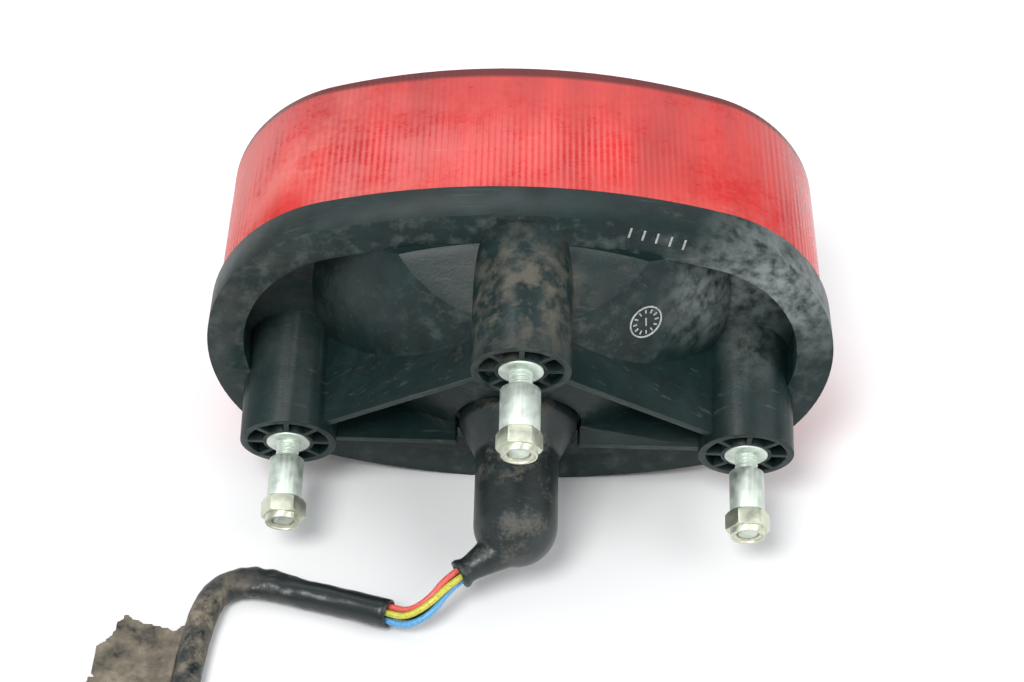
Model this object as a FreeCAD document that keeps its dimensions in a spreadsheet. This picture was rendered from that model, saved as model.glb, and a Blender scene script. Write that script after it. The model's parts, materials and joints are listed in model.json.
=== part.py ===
import FreeCAD, Part
import math
import os
import Sketcher

# Oval motorcycle tail light, millimetres. +Z is up, the lens faces -Y, the mounting studs leave towards +Y
# and slope down. The light stands on the lower edge of its flange, z = 0. Left and right are -X and +X.

os.makedirs("parts", exist_ok=True)
doc = FreeCAD.newDocument("tail_light")

DIMENSIONS = {
    # Oval outline of the flange: half sizes and the radius of its two round ends.
    "flange_half_width": 80.5,
    "flange_half_height": 45.5,
    "flange_end_radius": 40.0,
    "flange_depth": 11.4,
    "flange_band": 9.3,
    # Back wall of the housing.
    "wall": 2.5,
    "recess_depth": 12.0,
    "floor_depth": 15.0,
    "seat_inset": 5.0,
    "hump_radius": 67.0,
    "hump_crest": 15.5,
    "hump_rise": 9.0,
    "platform_half_width": 47.0,
    "platform_top": 12.0,
    "platform_back": 0.5,
    # Lens and its seal.
    "lens_inset": 1.6,
    "lens_wall": 2.4,
    "lens_end_depth": 60.7,
    "lens_crown": 2.4,
    "groove_depth": 6.0,
    "gasket_thickness": 2.4,
    "groove_gap": 0.2,
    "lens_screw_spacing": 132.0,
    "lens_tube_radius": 4.6,
    "post_radius": 4.0,
    "post_end": 36.0,
    "lens_screw_radius": 1.75,
    "lens_screw_head_radius": 3.6,
    "lens_screw_head_depth": 2.6,
    "lens_counterbore_depth": 6.0,
    "lens_screw_bite": 12.0,
    # Three mounting bosses: their ends share one plane, tilted down from the flange.
    "stud_tilt": 20.0,
    "side_boss_spacing": 118.6,
    "side_boss_drop": 21.3,
    "side_boss_back": 13.7,
    "boss_rise": 43.7,
    "boss_radius": 12.4,
    "boss_wall": 1.9,
    "boss_hub_radius": 6.6,
    "boss_void_depth": 12.0,
    "spoke_thickness": 1.3,
    "boss_length": 46.0,
    "web_thickness": 2.2,
    "web_setback": 2.0,
    "web_depth": 44.0,
    "rib_drop": 1.2,
    # M6 fastenings.
    "thread_radius": 3.0,
    "collar_radius": 5.7,
    "collar_depth": 1.6,
    "collar_proud": 0.4,
    "stud_embed": 11.0,
    "spacer_start": 5.2,
    "spacer_length": 11.5,
    "side_spacer_radius": 4.5,
    "centre_spacer_radius": 5.0,
    "spacer_clearance": 0.2,
    "nut_flats": 10.0,
    "nut_hex_height": 4.6,
    "nut_collar_height": 1.6,
    "nut_clearance": 0.05,
    "lock_ring_clearance": 0.03,
    "lock_ring_reach": 0.9,
    "nut_collar_wall": 0.6,
    "nut_gap": 0.05,
    "stud_past_spacer": 5.7,
    # Connector neck under the boot, square to the mounting plane.
    "neck_back": 6.0,
    "neck_drop": 15.6,
    "neck_wall": 1.7,
    "plug_clearance": 0.2,
    "neck_length": 20.0,
    "neck_foot_radius": 18.0,
    "neck_foot_height": 3.0,
    "neck_bore_start": 2.0,
    "boot_ring_radius": 15.2,
    "boot_ring_height": 4.5,
    "boot_shoulder": 13.0,
    "boot_wall": 1.65,
    "boot_gap": 0.1,
    "boot_dome_start": 32.0,
    "boot_nozzle_start": 36.0,
    "boot_nozzle_length": 17.0,
    "boot_nozzle_radius": 3.3,
    "boot_nozzle_bore": 2.5,
    "boot_lip_radius": 3.9,
    "boot_lip_thickness": 1.6,
    "rib_boot_gap": 1.2,
    "plug_radius": 7.1,
    "plug_start": 7.0,
    "plug_length": 16.0,
    "terminal_ring": 4.0,
    "pin_radius": 0.9,
    "pin_reach": 15.0,
    "pin_tail": 16.0,
    "terminal_radius": 1.5,
    # Bulbs stand upright in bayonet holders inside the lens.
    "bulb_spacing": 68.0,
    "bulb_depth": 36.0,
    "holder_drop": 35.5,
    "holder_wall": 1.0,
    "socket_clearance": 0.3,
    "holder_height": 27.0,
    "holder_base": 1.5,
    "plunger_clearance": 0.5,
    "plunger_height": 3.0,
    "plunger_lift": 10.5,
    "insulator_height": 1.5,
    "spring_radius": 5.0,
    "spring_wire": 0.5,
    "spring_turns": 4.0,
    "cap_radius": 7.5,
    "cap_height": 18.0,
    "bayonet_pin_radius": 1.0,
    "bayonet_pin_lift": 9.0,
    "bayonet_turn": 20.0,
    "glass_radius": 12.3,
    "glass_height": 30.0,
    "glass_wall": 0.8,
    "contact_height": 0.8,
    # Reflector plate.
    "reflector_thickness": 1.5,
    "reflector_inset": 7.0,
    "reflector_gap": 0.2,
    "reflector_notch_gap": 1.7,
    "dish_radius": 22.0,
    "dish_sphere": 34.0,
    "dish_rise": 8.0,
    # Wires and harness.
    "wire_radius": 0.85,
    "lead_radius": 0.6,
    "strip_width": 2.6,
    "strip_thickness": 0.8,
    "sleeve_radius": 3.65,
    "coil_radius": 43.0,
    "coil_inner_end": 18.0,
    "tape_thickness": 1.0,
    "far_plug_length": 26.0,
    "far_plug_width": 12.0,
    "far_plug_height": 10.0,
}

sheet = doc.addObject("Spreadsheet::Sheet", "Sizes")
for row, (alias, number) in enumerate(DIMENSIONS.items(), start=1):
    sheet.set(f"A{row}", str(number))
    sheet.setAlias(f"A{row}", alias)
doc.recompute()


class Size:
    """A length that is known both as a number and as an expression on the sheet."""

    def __init__(self, value, text):
        self.value = value
        self.text = text

    def __add__(self, other):
        return combine(self, "+", other)

    def __sub__(self, other):
        return combine(self, "-", other)

    def __mul__(self, other):
        return combine(self, "*", other)

    def __truediv__(self, other):
        return combine(self, "/", other)

    def __neg__(self):
        return Size(-self.value, f"(-{self.text})")


def combine(first, sign, second):
    if not isinstance(second, Size):
        second = Size(float(second), str(float(second)))
    results = {
        "+": first.value + second.value,
        "-": first.value - second.value,
        "*": first.value * second.value,
        "/": first.value / second.value if second.value else 0.0,
    }
    return Size(results[sign], f"({first.text} {sign} {second.text})")


def size(alias):
    return Size(float(getattr(sheet, alias)), f"Sizes.{alias}")


def number(value):
    return value if isinstance(value, Size) else Size(float(value), str(float(value)))


def bind(thing, **values):
    for prop, value in values.items():
        value = number(value)
        setattr(thing, prop, value.value)
        thing.setExpression(prop, value.text)


# ---------------------------------------------------------------- frames

CENTRE_HEIGHT = size("flange_half_height")
TILT = math.radians(size("stud_tilt").value)
AWAY = FreeCAD.Vector(0, math.cos(TILT), -math.sin(TILT))
UP_SLOPE = FreeCAD.Vector(0, math.sin(TILT), math.cos(TILT))
SIDE = FreeCAD.Vector(1, 0, 0)
LAMP = FreeCAD.Placement(FreeCAD.Vector(0, 0, CENTRE_HEIGHT.value), FreeCAD.Rotation())


def turned(base, z_axis, x_axis=SIDE):
    """Placement at base whose local Z is z_axis and whose local X is near x_axis."""
    z_axis = FreeCAD.Vector(z_axis)
    z_axis.normalize()
    y_axis = z_axis.cross(x_axis)
    y_axis.normalize()
    x_axis = y_axis.cross(z_axis)
    matrix = FreeCAD.Matrix(
        x_axis.x, y_axis.x, z_axis.x, base.x,
        x_axis.y, y_axis.y, z_axis.y, base.y,
        x_axis.z, y_axis.z, z_axis.z, base.z,
        0, 0, 0, 1,
    )
    return FreeCAD.Placement(matrix)


def lamp_point(x, y, z):
    return FreeCAD.Vector(x, y, z + CENTRE_HEIGHT.value)


SIDE_BOSS = lamp_point(
    size("side_boss_spacing").value / 2, size("side_boss_back").value, -size("side_boss_drop").value
)
CENTRE_BOSS = FreeCAD.Vector(0, SIDE_BOSS.y, SIDE_BOSS.z) + UP_SLOPE * size("boss_rise").value
BOSSES = {
    "left": FreeCAD.Vector(-SIDE_BOSS.x, SIDE_BOSS.y, SIDE_BOSS.z),
    "centre": CENTRE_BOSS,
    "right": SIDE_BOSS,
}
NECK = lamp_point(0, size("neck_back").value, -size("neck_drop").value)
FACE_TO_AWAY = {side: turned(base, AWAY) for side, base in BOSSES.items()}
NECK_FRAME = turned(NECK, AWAY)


# ---------------------------------------------------------------- fits

SPACER_BORE = size("thread_radius") + size("spacer_clearance")
NUT_BORE = size("thread_radius") + size("nut_clearance")
LOCK_RING_BORE = size("thread_radius") + size("lock_ring_clearance")
LOCK_RING_RADIUS = size("thread_radius") + size("lock_ring_reach")
NUT_COLLAR_RADIUS = LOCK_RING_RADIUS + size("nut_collar_wall")
NECK_BORE = size("plug_radius") + size("plug_clearance")
NECK_RADIUS = NECK_BORE + size("neck_wall")
BOOT_BORE = NECK_RADIUS + size("boot_gap")
BOOT_RADIUS = BOOT_BORE + size("boot_wall")
HOLDER_BORE = size("cap_radius") + size("socket_clearance")
HOLDER_RADIUS = HOLDER_BORE + size("holder_wall")
PLUNGER_RADIUS = HOLDER_BORE - size("plunger_clearance")


# ---------------------------------------------------------------- makers

def make(kind, name, placement=None, **values):
    thing = doc.addObject(kind, name)
    bind(thing, **values)
    if placement is not None:
        thing.Placement = placement
    return thing


def offset(x=0.0, y=0.0, z=0.0, frame=None):
    """Placement moved by x, y, z inside a frame."""
    move = FreeCAD.Placement(
        FreeCAD.Vector(number(x).value, number(y).value, number(z).value), FreeCAD.Rotation()
    )
    return move if frame is None else frame.multiply(move)


def cylinder(name, radius, height, placement=None):
    return make("Part::Cylinder", name, placement, Radius=radius, Height=height)


def box(name, length, width, height, placement=None):
    return make("Part::Box", name, placement, Length=length, Width=width, Height=height)


def cut(name, base, tool):
    thing = doc.addObject("Part::Cut", name)
    thing.Base = base
    thing.Tool = tool
    return thing


def fuse(name, *shapes):
    thing = doc.addObject("Part::MultiFuse", name)
    thing.Shapes = list(shapes)
    return thing


def common(name, *shapes):
    thing = doc.addObject("Part::MultiCommon", name)
    thing.Shapes = list(shapes)
    return thing


def group(name, things):
    """Separate solids that share one node."""
    thing = doc.addObject("Part::Compound", name)
    thing.Links = list(things)
    return thing


def body(name, placement=None):
    thing = doc.addObject("PartDesign::Body", name)
    if placement is not None:
        thing.Placement = placement
    return thing


def origin(owner, role):
    for feature in owner.Origin.OriginFeatures:
        if feature.Role == role:
            return feature
    raise ValueError(role)


def sketch_on(owner, name, role, height=0.0):
    """Sketch on one of the body's own planes, moved along that plane's normal."""
    drawing = owner.newObject("Sketcher::SketchObject", name)
    drawing.AttachmentSupport = [(origin(owner, role), "")]
    drawing.MapMode = "FlatFace"
    height = number(height)
    drawing.AttachmentOffset = FreeCAD.Placement(
        FreeCAD.Vector(0, 0, height.value), FreeCAD.Rotation()
    )
    drawing.setExpression("AttachmentOffset.Base.z", height.text)
    return drawing


def hold(drawing, kind, *references, value):
    value = number(value)
    index = drawing.addConstraint(Sketcher.Constraint(kind, *references, value.value))
    drawing.setExpression(f"Constraints[{index}]", value.text)


def circle(drawing, radius, x=None, y=None):
    radius = number(radius)
    centre = FreeCAD.Vector(number(x or 0).value, number(y or 0).value, 0)
    edge = drawing.addGeometry(Part.Circle(centre, FreeCAD.Vector(0, 0, 1), radius.value))
    hold(drawing, "Radius", edge, value=radius)
    if x is None and y is None:
        drawing.addConstraint(Sketcher.Constraint("Coincident", edge, 3, -1, 1))
        return
    for kind, place in (("DistanceX", x), ("DistanceY", y)):
        if place is None:
            line = -2 if kind == "DistanceX" else -1
            drawing.addConstraint(Sketcher.Constraint("PointOnObject", edge, 3, line))
        else:
            hold(drawing, kind, -1, 1, edge, 3, value=place)


def polygon(drawing, corners):
    """Closed outline through corners, each a pair of sizes from the sketch's origin."""
    corners = [(number(x), number(y)) for x, y in corners]
    points = [FreeCAD.Vector(x.value, y.value, 0) for x, y in corners]
    edges = []
    for start, end in zip(points, points[1:] + points[:1]):
        edges.append(drawing.addGeometry(Part.LineSegment(start, end)))
    for edge, following in zip(edges, edges[1:] + edges[:1]):
        drawing.addConstraint(Sketcher.Constraint("Coincident", edge, 2, following, 1))
    for edge, (x, y) in zip(edges, corners):
        for kind, place, axis in (("DistanceX", x, -2), ("DistanceY", y, -1)):
            if abs(place.value) < 1e-9:
                drawing.addConstraint(Sketcher.Constraint("PointOnObject", edge, 1, axis))
            else:
                hold(drawing, kind, -1, 1, edge, 1, value=place)


def oval(drawing, inset):
    """The flange's outline, moved in by inset: two round ends joined by two long arcs."""
    inset = number(inset)
    half_width = size("flange_half_width") - inset
    half_height = size("flange_half_height") - inset
    end = size("flange_end_radius") - inset
    long = (
        (half_width - end) * (half_width - end) + half_height * half_height - end * end
    ) / ((half_height - end) * 2.0)
    end_x = (half_width - end).value
    long_y = (half_height - long).value
    lean = math.atan2(-long_y, end_x)
    normal = FreeCAD.Vector(0, 0, 1)
    spots = {
        "right": (end_x, 0, end.value, -lean, lean),
        "top": (0, long_y, long.value, lean, math.pi - lean),
        "left": (-end_x, 0, end.value, math.pi - lean, math.pi + lean),
        "bottom": (0, -long_y, long.value, math.pi + lean, 2 * math.pi - lean),
    }
    arcs = {}
    for side, (x, y, radius, start, stop) in spots.items():
        ring = Part.Circle(FreeCAD.Vector(x, y, 0), normal, radius)
        arcs[side] = drawing.addGeometry(Part.ArcOfCircle(ring, start, stop))
    for first, second in (("right", "top"), ("top", "left"), ("left", "bottom"), ("bottom", "right")):
        drawing.addConstraint(Sketcher.Constraint("Tangent", arcs[first], 2, arcs[second], 1))
    for side, sign in (("right", 1.0), ("left", -1.0)):
        drawing.addConstraint(Sketcher.Constraint("PointOnObject", arcs[side], 3, -1))
        hold(drawing, "DistanceX", -1, 1, arcs[side], 3, value=(half_width - end) * sign)
        hold(drawing, "Radius", arcs[side], value=end)
    for side in ("top", "bottom"):
        hold(drawing, "Radius", arcs[side], value=long)


def pad(owner, drawing, length, reverse=False, name=None):
    feature = owner.newObject("PartDesign::Pad", name or drawing.Name + "_pad")
    feature.Profile = drawing
    bind(feature, Length=length)
    feature.Reversed = reverse
    drawing.Visibility = False
    doc.recompute()
    return feature


def pocket(owner, drawing, length, reverse=False):
    before = owner.Shape.Volume
    feature = owner.newObject("PartDesign::Pocket", drawing.Name + "_pocket")
    feature.Profile = drawing
    bind(feature, Length=length)
    feature.Reversed = reverse
    drawing.Visibility = False
    doc.recompute()
    if owner.Shape.Volume > before - 0.01:
        feature.Reversed = not reverse
        doc.recompute()
    return feature


def revolve(owner, drawing, role="Z_Axis"):
    feature = owner.newObject("PartDesign::Revolution", drawing.Name + "_turn")
    feature.Profile = drawing
    feature.ReferenceAxis = (origin(owner, role), [""])
    feature.Angle = 360
    drawing.Visibility = False
    doc.recompute()
    return feature


def oval_plate(name, inset, front, back):
    """Solid oval slab between two distances behind the flange's back face, front < back."""
    owner = body(name, LAMP)
    drawing = sketch_on(owner, name + "_outline", "XZ_Plane", -number(back))
    oval(drawing, inset)
    pad(owner, drawing, number(back) - front)
    return owner


nodes = []


def keep(thing, label=None):
    """Marks a finished sub-part: its label is its file's name."""
    thing.Label = label or thing.Name
    nodes.append(thing)
    return thing


# ---------------------------------------------------------------- fastenings

def make_stud(side):
    frame = FACE_TO_AWAY[side]
    embed = size("stud_embed")
    reach = size("spacer_start") + size("spacer_length") + size("stud_past_spacer")
    shank = cylinder(f"shank_{side}", size("thread_radius"), reach + embed, offset(z=-embed, frame=frame))
    collar = cylinder(
        f"collar_{side}", size("collar_radius"), size("collar_depth"),
        offset(z=size("collar_proud") - size("collar_depth"), frame=frame),
    )
    return keep(fuse(f"stud_{side}", shank, collar))


def make_spacer(side):
    radius = size("centre_spacer_radius") if side == "centre" else size("side_spacer_radius")
    frame = offset(z=size("spacer_start"), frame=FACE_TO_AWAY[side])
    outer = cylinder(f"spacer_{side}_outer", radius, size("spacer_length"), frame)
    bore = cylinder(f"spacer_{side}_bore", SPACER_BORE, size("spacer_length"), frame)
    return keep(cut(f"spacer_{side}", outer, bore))


def make_nut(side):
    """Self-locking hexagon nut: steel body with a round collar, and the plastic ring held in it."""
    start = size("spacer_start") + size("spacer_length") + size("nut_gap")
    frame = offset(z=start, frame=FACE_TO_AWAY[side])
    hex_height = size("nut_hex_height")
    collar_height = size("nut_collar_height")
    corner = size("nut_flats") / math.sqrt(3)
    prism = make(
        "Part::Prism", f"nut_{side}_hex", frame, Circumradius=corner, Height=hex_height
    )
    prism.Polygon = 6
    bevel = make(
        "Part::Cone", f"nut_{side}_bevel", frame,
        Radius1=corner - 0.6, Radius2=corner + hex_height - 0.6, Height=hex_height,
    )
    top_bevel = make(
        "Part::Cone", f"nut_{side}_top_bevel", frame,
        Radius1=corner + hex_height - 0.4, Radius2=corner - 0.4, Height=hex_height,
    )
    collar = cylinder(
        f"nut_{side}_collar", NUT_COLLAR_RADIUS, hex_height + collar_height, frame
    )
    blank = fuse(f"nut_{side}_blank", common(f"nut_{side}_faces", prism, bevel, top_bevel), collar)
    bore = cylinder(
        f"nut_{side}_bore", NUT_BORE, hex_height + collar_height, frame
    )
    lock_frame = offset(z=hex_height - 0.8, frame=frame)
    lock_space = cylinder(
        f"nut_{side}_lock_space", LOCK_RING_RADIUS, collar_height + 0.8, lock_frame
    )
    keep(cut(f"nut_{side}", blank, fuse(f"nut_{side}_inside", bore, lock_space)))
    ring_height = collar_height + 0.4
    ring = cylinder(f"lock_{side}_outer", LOCK_RING_RADIUS, ring_height, lock_frame)
    ring_bore = cylinder(f"lock_{side}_bore", LOCK_RING_BORE, ring_height, lock_frame)
    keep(cut(f"nut_lock_ring_{side}", ring, ring_bore))


studs = {side: make_stud(side) for side in BOSSES}
for side in BOSSES:
    make_spacer(side)
    make_nut(side)


# ---------------------------------------------------------------- connector pins

def ring_spots(radius):
    """Four places on a ring around the neck's axis: tail, right ground, brake, left ground."""
    radius = number(radius).value
    return [(0, -radius), (radius, 0), (0, radius), (-radius, 0)]


PIN_SPOTS = ring_spots(size("terminal_ring"))
pins = []
for index, (x, y) in enumerate(PIN_SPOTS, start=1):
    pins.append(
        cylinder(
            f"pin_{index}", size("pin_radius"), size("pin_tail") + size("pin_reach"),
            offset(x, y, -size("pin_tail"), frame=NECK_FRAME),
        )
    )
connector_pins = keep(group("connector_pins", pins))


# ---------------------------------------------------------------- housing

def make_boss(side):
    owner = body(f"boss_{side}", FACE_TO_AWAY[side])
    outline = sketch_on(owner, f"boss_{side}_outline", "XY_Plane")
    circle(outline, size("boss_radius"))
    pad(owner, outline, size("boss_length"), reverse=True)
    void = sketch_on(owner, f"boss_{side}_void", "XY_Plane")
    circle(void, size("boss_radius") - size("boss_wall"))
    circle(void, size("boss_hub_radius"))
    pocket(owner, void, size("boss_void_depth"))
    spoke = sketch_on(owner, f"boss_{side}_spoke", "XY_Plane")
    inner = size("boss_hub_radius") - 0.4
    outer = size("boss_radius") - size("boss_wall") * 0.5
    half = size("spoke_thickness") / 2.0
    polygon(spoke, [(inner, -half), (outer, -half), (outer, half), (inner, half)])
    bar = pad(owner, spoke, size("boss_void_depth"), reverse=True)
    ring = owner.newObject("PartDesign::PolarPattern", f"boss_{side}_spokes")
    ring.Originals = [bar]
    ring.Axis = (origin(owner, "Z_Axis"), [""])
    ring.Angle = 360
    ring.Occurrences = 8
    owner.Tip = ring
    doc.recompute()
    return owner


def make_plate(name, start, toward, drop=0.0):
    """Thin web between two boss ends, set back from them and running forward to the back wall."""
    thickness = size("web_thickness")
    depth = size("web_depth")
    line = toward - start
    frame = turned(start - UP_SLOPE * number(drop).value, AWAY, line)
    place = offset(y=-thickness / 2.0, z=-size("web_setback") - depth, frame=frame)
    return box(name, line.Length, thickness, depth, place)


def make_hump(name, shrink, front):
    """Bulge of the back wall over the reflector, cut off by a slope from the flange's top inner edge."""
    shrink = number(shrink)
    radius = size("hump_radius")
    middle = lamp_point(0, (size("hump_crest") - radius).value, size("hump_rise").value)
    bulge = make(
        "Part::Sphere", name + "_bulge", FreeCAD.Placement(middle, FreeCAD.Rotation()),
        Radius=radius - shrink,
    )
    opening = size("flange_half_height") - size("flange_band")
    slope = opening - shrink * math.sqrt(2)
    reach = size("flange_half_height")
    limit = body(name + "_limit", LAMP)
    profile = sketch_on(limit, name + "_profile", "YZ_Plane", -size("flange_half_width"))
    polygon(
        profile,
        [
            (front, -opening + shrink),
            (reach, -opening + shrink),
            (reach, slope - reach),
            (slope - opening + shrink, opening - shrink),
            (front, opening - shrink),
        ],
    )
    pad(limit, profile, size("flange_half_width") * 2.0)
    inset = size("flange_band") + shrink - 0.3
    outline = oval_plate(name + "_oval", inset, front, reach)
    return common(name, bulge, limit, outline)


def make_platform(name, shrink, front, back):
    """Flat part of the back wall under the connector."""
    shrink = number(shrink)
    slab = oval_plate(name + "_slab", size("flange_band") + shrink - 0.3, front, back)
    half = size("platform_half_width") - shrink
    top = lamp_point(-half.value, number(front).value, 0) - FreeCAD.Vector(
        0, 0, CENTRE_HEIGHT.value
    )
    block = box(
        name + "_block", half * 2.0, number(back) - front,
        CENTRE_HEIGHT - size("platform_top") - shrink, FreeCAD.Placement(top, FreeCAD.Rotation()),
    )
    return common(name, slab, block)


def make_shell():
    floor = -size("floor_depth")
    recess = -size("recess_depth")
    wall = size("wall")
    flange = oval_plate("flange", 0.0, -size("flange_depth"), 0.0)
    seat = oval_plate("seat", size("seat_inset"), floor, -size("flange_depth") + 1.0)
    opening = oval_plate("recess", size("flange_band"), recess, 1.0)
    tray = cut("tray", fuse("tray_blank", flange, seat), opening)
    hump = make_hump("hump", 0.0, recess - 1.0)
    platform = make_platform("platform", 0.0, recess - 1.0, size("platform_back"))
    skin = fuse("skin", tray, hump, platform)
    hump_space = make_hump("hump_space", wall, floor - 1.0)
    chamber = make_platform("chamber", wall, floor - 1.0, size("platform_back") - wall)
    inside = fuse("inside", hump_space, chamber)
    return cut("shell", skin, inside), inside


def make_groove():
    gap = size("groove_gap")
    front = -size("flange_depth") - 1.0
    back = -size("flange_depth") + size("groove_depth")
    outer = oval_plate("groove_outer", size("lens_inset") - gap, front, back)
    inner = oval_plate("groove_inner", size("lens_inset") + size("lens_wall") + gap, front, back)
    return cut("groove", outer, inner)


def screw_spots():
    return {"left": -size("lens_screw_spacing").value / 2, "right": size("lens_screw_spacing").value / 2}


def facing_front(x, y, z=0.0):
    """Frame inside the light whose local Z points at the lens, -Y."""
    return turned(lamp_point(number(x).value, number(y).value, number(z).value), FreeCAD.Vector(0, -1, 0))


def make_housing():
    shell, inside = make_shell()
    bosses = [make_boss(side) for side in BOSSES]
    plates = [
        make_plate("web_left", BOSSES["left"], BOSSES["centre"]),
        make_plate("web_right", BOSSES["right"], BOSSES["centre"]),
        make_plate("lower_rib", BOSSES["left"], BOSSES["right"], size("rib_drop")),
    ]
    band = size("flange_band")
    trim = fuse(
        "frame_limit",
        oval_plate("frame_inside", band - 0.5, -size("floor_depth") + 0.5, 1.0),
        box(
            "frame_behind", size("flange_half_width") * 2.2, 60.0, size("flange_half_height") * 2.4,
            FreeCAD.Placement(
                FreeCAD.Vector(-size("flange_half_width").value * 1.1, -0.5, -5.0), FreeCAD.Rotation()
            ),
        ),
    )
    ribs = cut("ribs", fuse("rib_plates", *plates), inside)
    frame = common("mount_frame", fuse("mount_frame_blank", *bosses, ribs), trim)
    start = -size("neck_foot_height")
    foot = cylinder(
        "neck_foot", size("neck_foot_radius"), size("neck_foot_height"), offset(z=start, frame=NECK_FRAME)
    )
    neck = cylinder(
        "neck", NECK_RADIUS, size("neck_length") - start, offset(z=start, frame=NECK_FRAME)
    )
    room = cylinder(
        "boot_room", size("boot_ring_radius") + size("rib_boot_gap"), 50.0, NECK_FRAME
    )
    bore = cylinder(
        "neck_bore", NECK_BORE, size("neck_length"),
        offset(z=size("neck_bore_start"), frame=NECK_FRAME),
    )
    blank = cut("housing_blank", fuse("shell_and_frame", shell, frame, foot), room)
    posts = []
    pilots = []
    for side, x in screw_spots().items():
        depth = size("post_end") - size("recess_depth")
        frame_in = facing_front(x, -size("recess_depth"))
        posts.append(cylinder(f"post_{side}", size("post_radius"), depth, frame_in))
        pilots.append(
            cylinder(
                f"pilot_{side}", size("lens_screw_radius"), size("lens_screw_bite"),
                facing_front(x, size("lens_screw_bite") - size("post_end")),
            )
        )
    whole = fuse("housing_solid", blank, neck, *posts)
    holes = fuse(
        "housing_holes", bore, make_groove(), *pilots, *pins, *studs.values(),
    )
    return keep(cut("housing", whole, holes))


housing = make_housing()
doc.recompute()


# ---------------------------------------------------------------- lens and seal

LENS_RIM = -size("flange_depth") + size("groove_depth") - size("gasket_thickness")
COUNTERBORE = -size("lens_end_depth") + size("lens_counterbore_depth")


def make_lens():
    inset = size("lens_inset")
    wall = size("lens_wall")
    crown = size("lens_crown")
    front = -size("lens_end_depth") - crown
    half_width = size("flange_half_width") - inset
    radius = (half_width * half_width + crown * crown) / (crown * 2.0)
    slab = oval_plate("lens_slab", inset, front, LENS_RIM)
    axis = FreeCAD.Vector(0, (front + radius).value, -5.0)
    bow = cylinder(
        "lens_bow", radius, size("flange_half_height") * 2.4, FreeCAD.Placement(axis, FreeCAD.Rotation())
    )
    space = oval_plate("lens_space", inset + wall, -size("lens_end_depth") + wall, LENS_RIM + 1.0)
    skin = cut("lens_skin", common("lens_blank", slab, bow), space)
    tubes = []
    holes = []
    for side, x in screw_spots().items():
        length = size("lens_end_depth") - size("post_end") - wall * 0.5
        foot = facing_front(x, -size("post_end"))
        tubes.append(cylinder(f"lens_tube_{side}", size("lens_tube_radius"), length, foot))
        holes.append(cylinder(f"lens_hole_{side}", size("lens_screw_radius") + 0.3, 40.0, foot))
        recess_radius = size("lens_screw_head_radius") + 0.3
        holes.append(cylinder(f"lens_recess_{side}", recess_radius, 12.0, facing_front(x, COUNTERBORE)))
    keep(cut("lens", fuse("lens_solid", skin, *tubes), fuse("lens_holes", *holes)))


def make_gasket():
    inset = size("lens_inset")
    back = -size("flange_depth") + size("groove_depth")
    outer = oval_plate("gasket_outer", inset, LENS_RIM, back)
    inner = oval_plate("gasket_inner", inset + size("lens_wall"), LENS_RIM, back)
    keep(cut("lens_gasket", outer, inner))


def make_lens_screws():
    screws = []
    for side, x in screw_spots().items():
        head = size("lens_screw_head_depth")
        shank_length = -COUNTERBORE - size("post_end") + size("lens_screw_bite") - 0.5
        top = facing_front(x, COUNTERBORE)
        shank_place = offset(z=-shank_length, frame=top)
        shank = cylinder(f"screw_shank_{side}", size("lens_screw_radius"), shank_length, shank_place)
        cap = cylinder(f"screw_head_{side}", size("lens_screw_head_radius"), head, top)
        slot_place = offset(-2.2, -0.45, head - 1.2, frame=top)
        cross_place = offset(-0.45, -2.2, head - 1.2, frame=top)
        cross = fuse(
            f"screw_cross_{side}",
            box(f"screw_slot_{side}", 4.4, 0.9, 2.0, slot_place),
            box(f"screw_slot_{side}_b", 0.9, 4.4, 2.0, cross_place),
        )
        screws.append(cut(f"screw_{side}", fuse(f"screw_blank_{side}", shank, cap), cross))
    keep(group("lens_screws", screws))


# ---------------------------------------------------------------- reflector, holders and bulbs

BULBS = {"left": -size("bulb_spacing").value / 2, "right": size("bulb_spacing").value / 2}


def make_reflector():
    """Plate with two round dishes behind the bulbs, held off the housing's floor by two collars."""
    thickness = size("reflector_thickness")
    sphere = size("dish_sphere").value
    setback = math.sqrt(sphere ** 2 - size("dish_radius").value ** 2)
    floor = -size("floor_depth") - size("reflector_gap")
    front = floor - thickness - (sphere - setback)
    plate = oval_plate("reflector_plate", size("reflector_inset"), front, front + thickness)
    solids = [plate]
    spaces = []
    for side, x in BULBS.items():
        rise = size("dish_rise").value
        middle = FreeCAD.Placement(lamp_point(x, front.value - setback, rise), FreeCAD.Rotation())
        for name, radius, into, start in (
            (f"dish_{side}", thickness + sphere, solids, 0.0),
            (f"dish_space_{side}", sphere, spaces, 1.0),
        ):
            ball = make("Part::Sphere", name + "_ball", middle, Radius=radius)
            corner = FreeCAD.Placement(
                lamp_point(x - sphere, front.value - start, rise - sphere), FreeCAD.Rotation()
            )
            behind = box(name + "_limit", sphere * 2, sphere, sphere * 2, corner)
            into.append(common(name, ball, behind))
        half = HOLDER_RADIUS + size("reflector_notch_gap")
        notch = FreeCAD.Placement(lamp_point(x - half.value, front.value - 2.0, -46.0), FreeCAD.Rotation())
        spaces.append(box(f"holder_notch_{side}", half * 2.0, 8.0, 22.0, notch))
    for side, x in screw_spots().items():
        length = floor - front - thickness * 0.5
        solids.append(
            cylinder(f"collar_{side}", size("post_radius") + 2.5, length, facing_front(x, floor))
        )
        spaces.append(
            cylinder(f"reflector_hole_{side}", size("post_radius") + 0.3, 20.0, facing_front(x, -10.0))
        )
    keep(cut("reflector", fuse("reflector_solid", *solids), fuse("reflector_spaces", *spaces)))


def upright(x, z):
    """Frame on a bulb's axis, z above the flange's centre line."""
    return FreeCAD.Placement(lamp_point(x, -size("bulb_depth").value, number(z).value), FreeCAD.Rotation())


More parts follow.
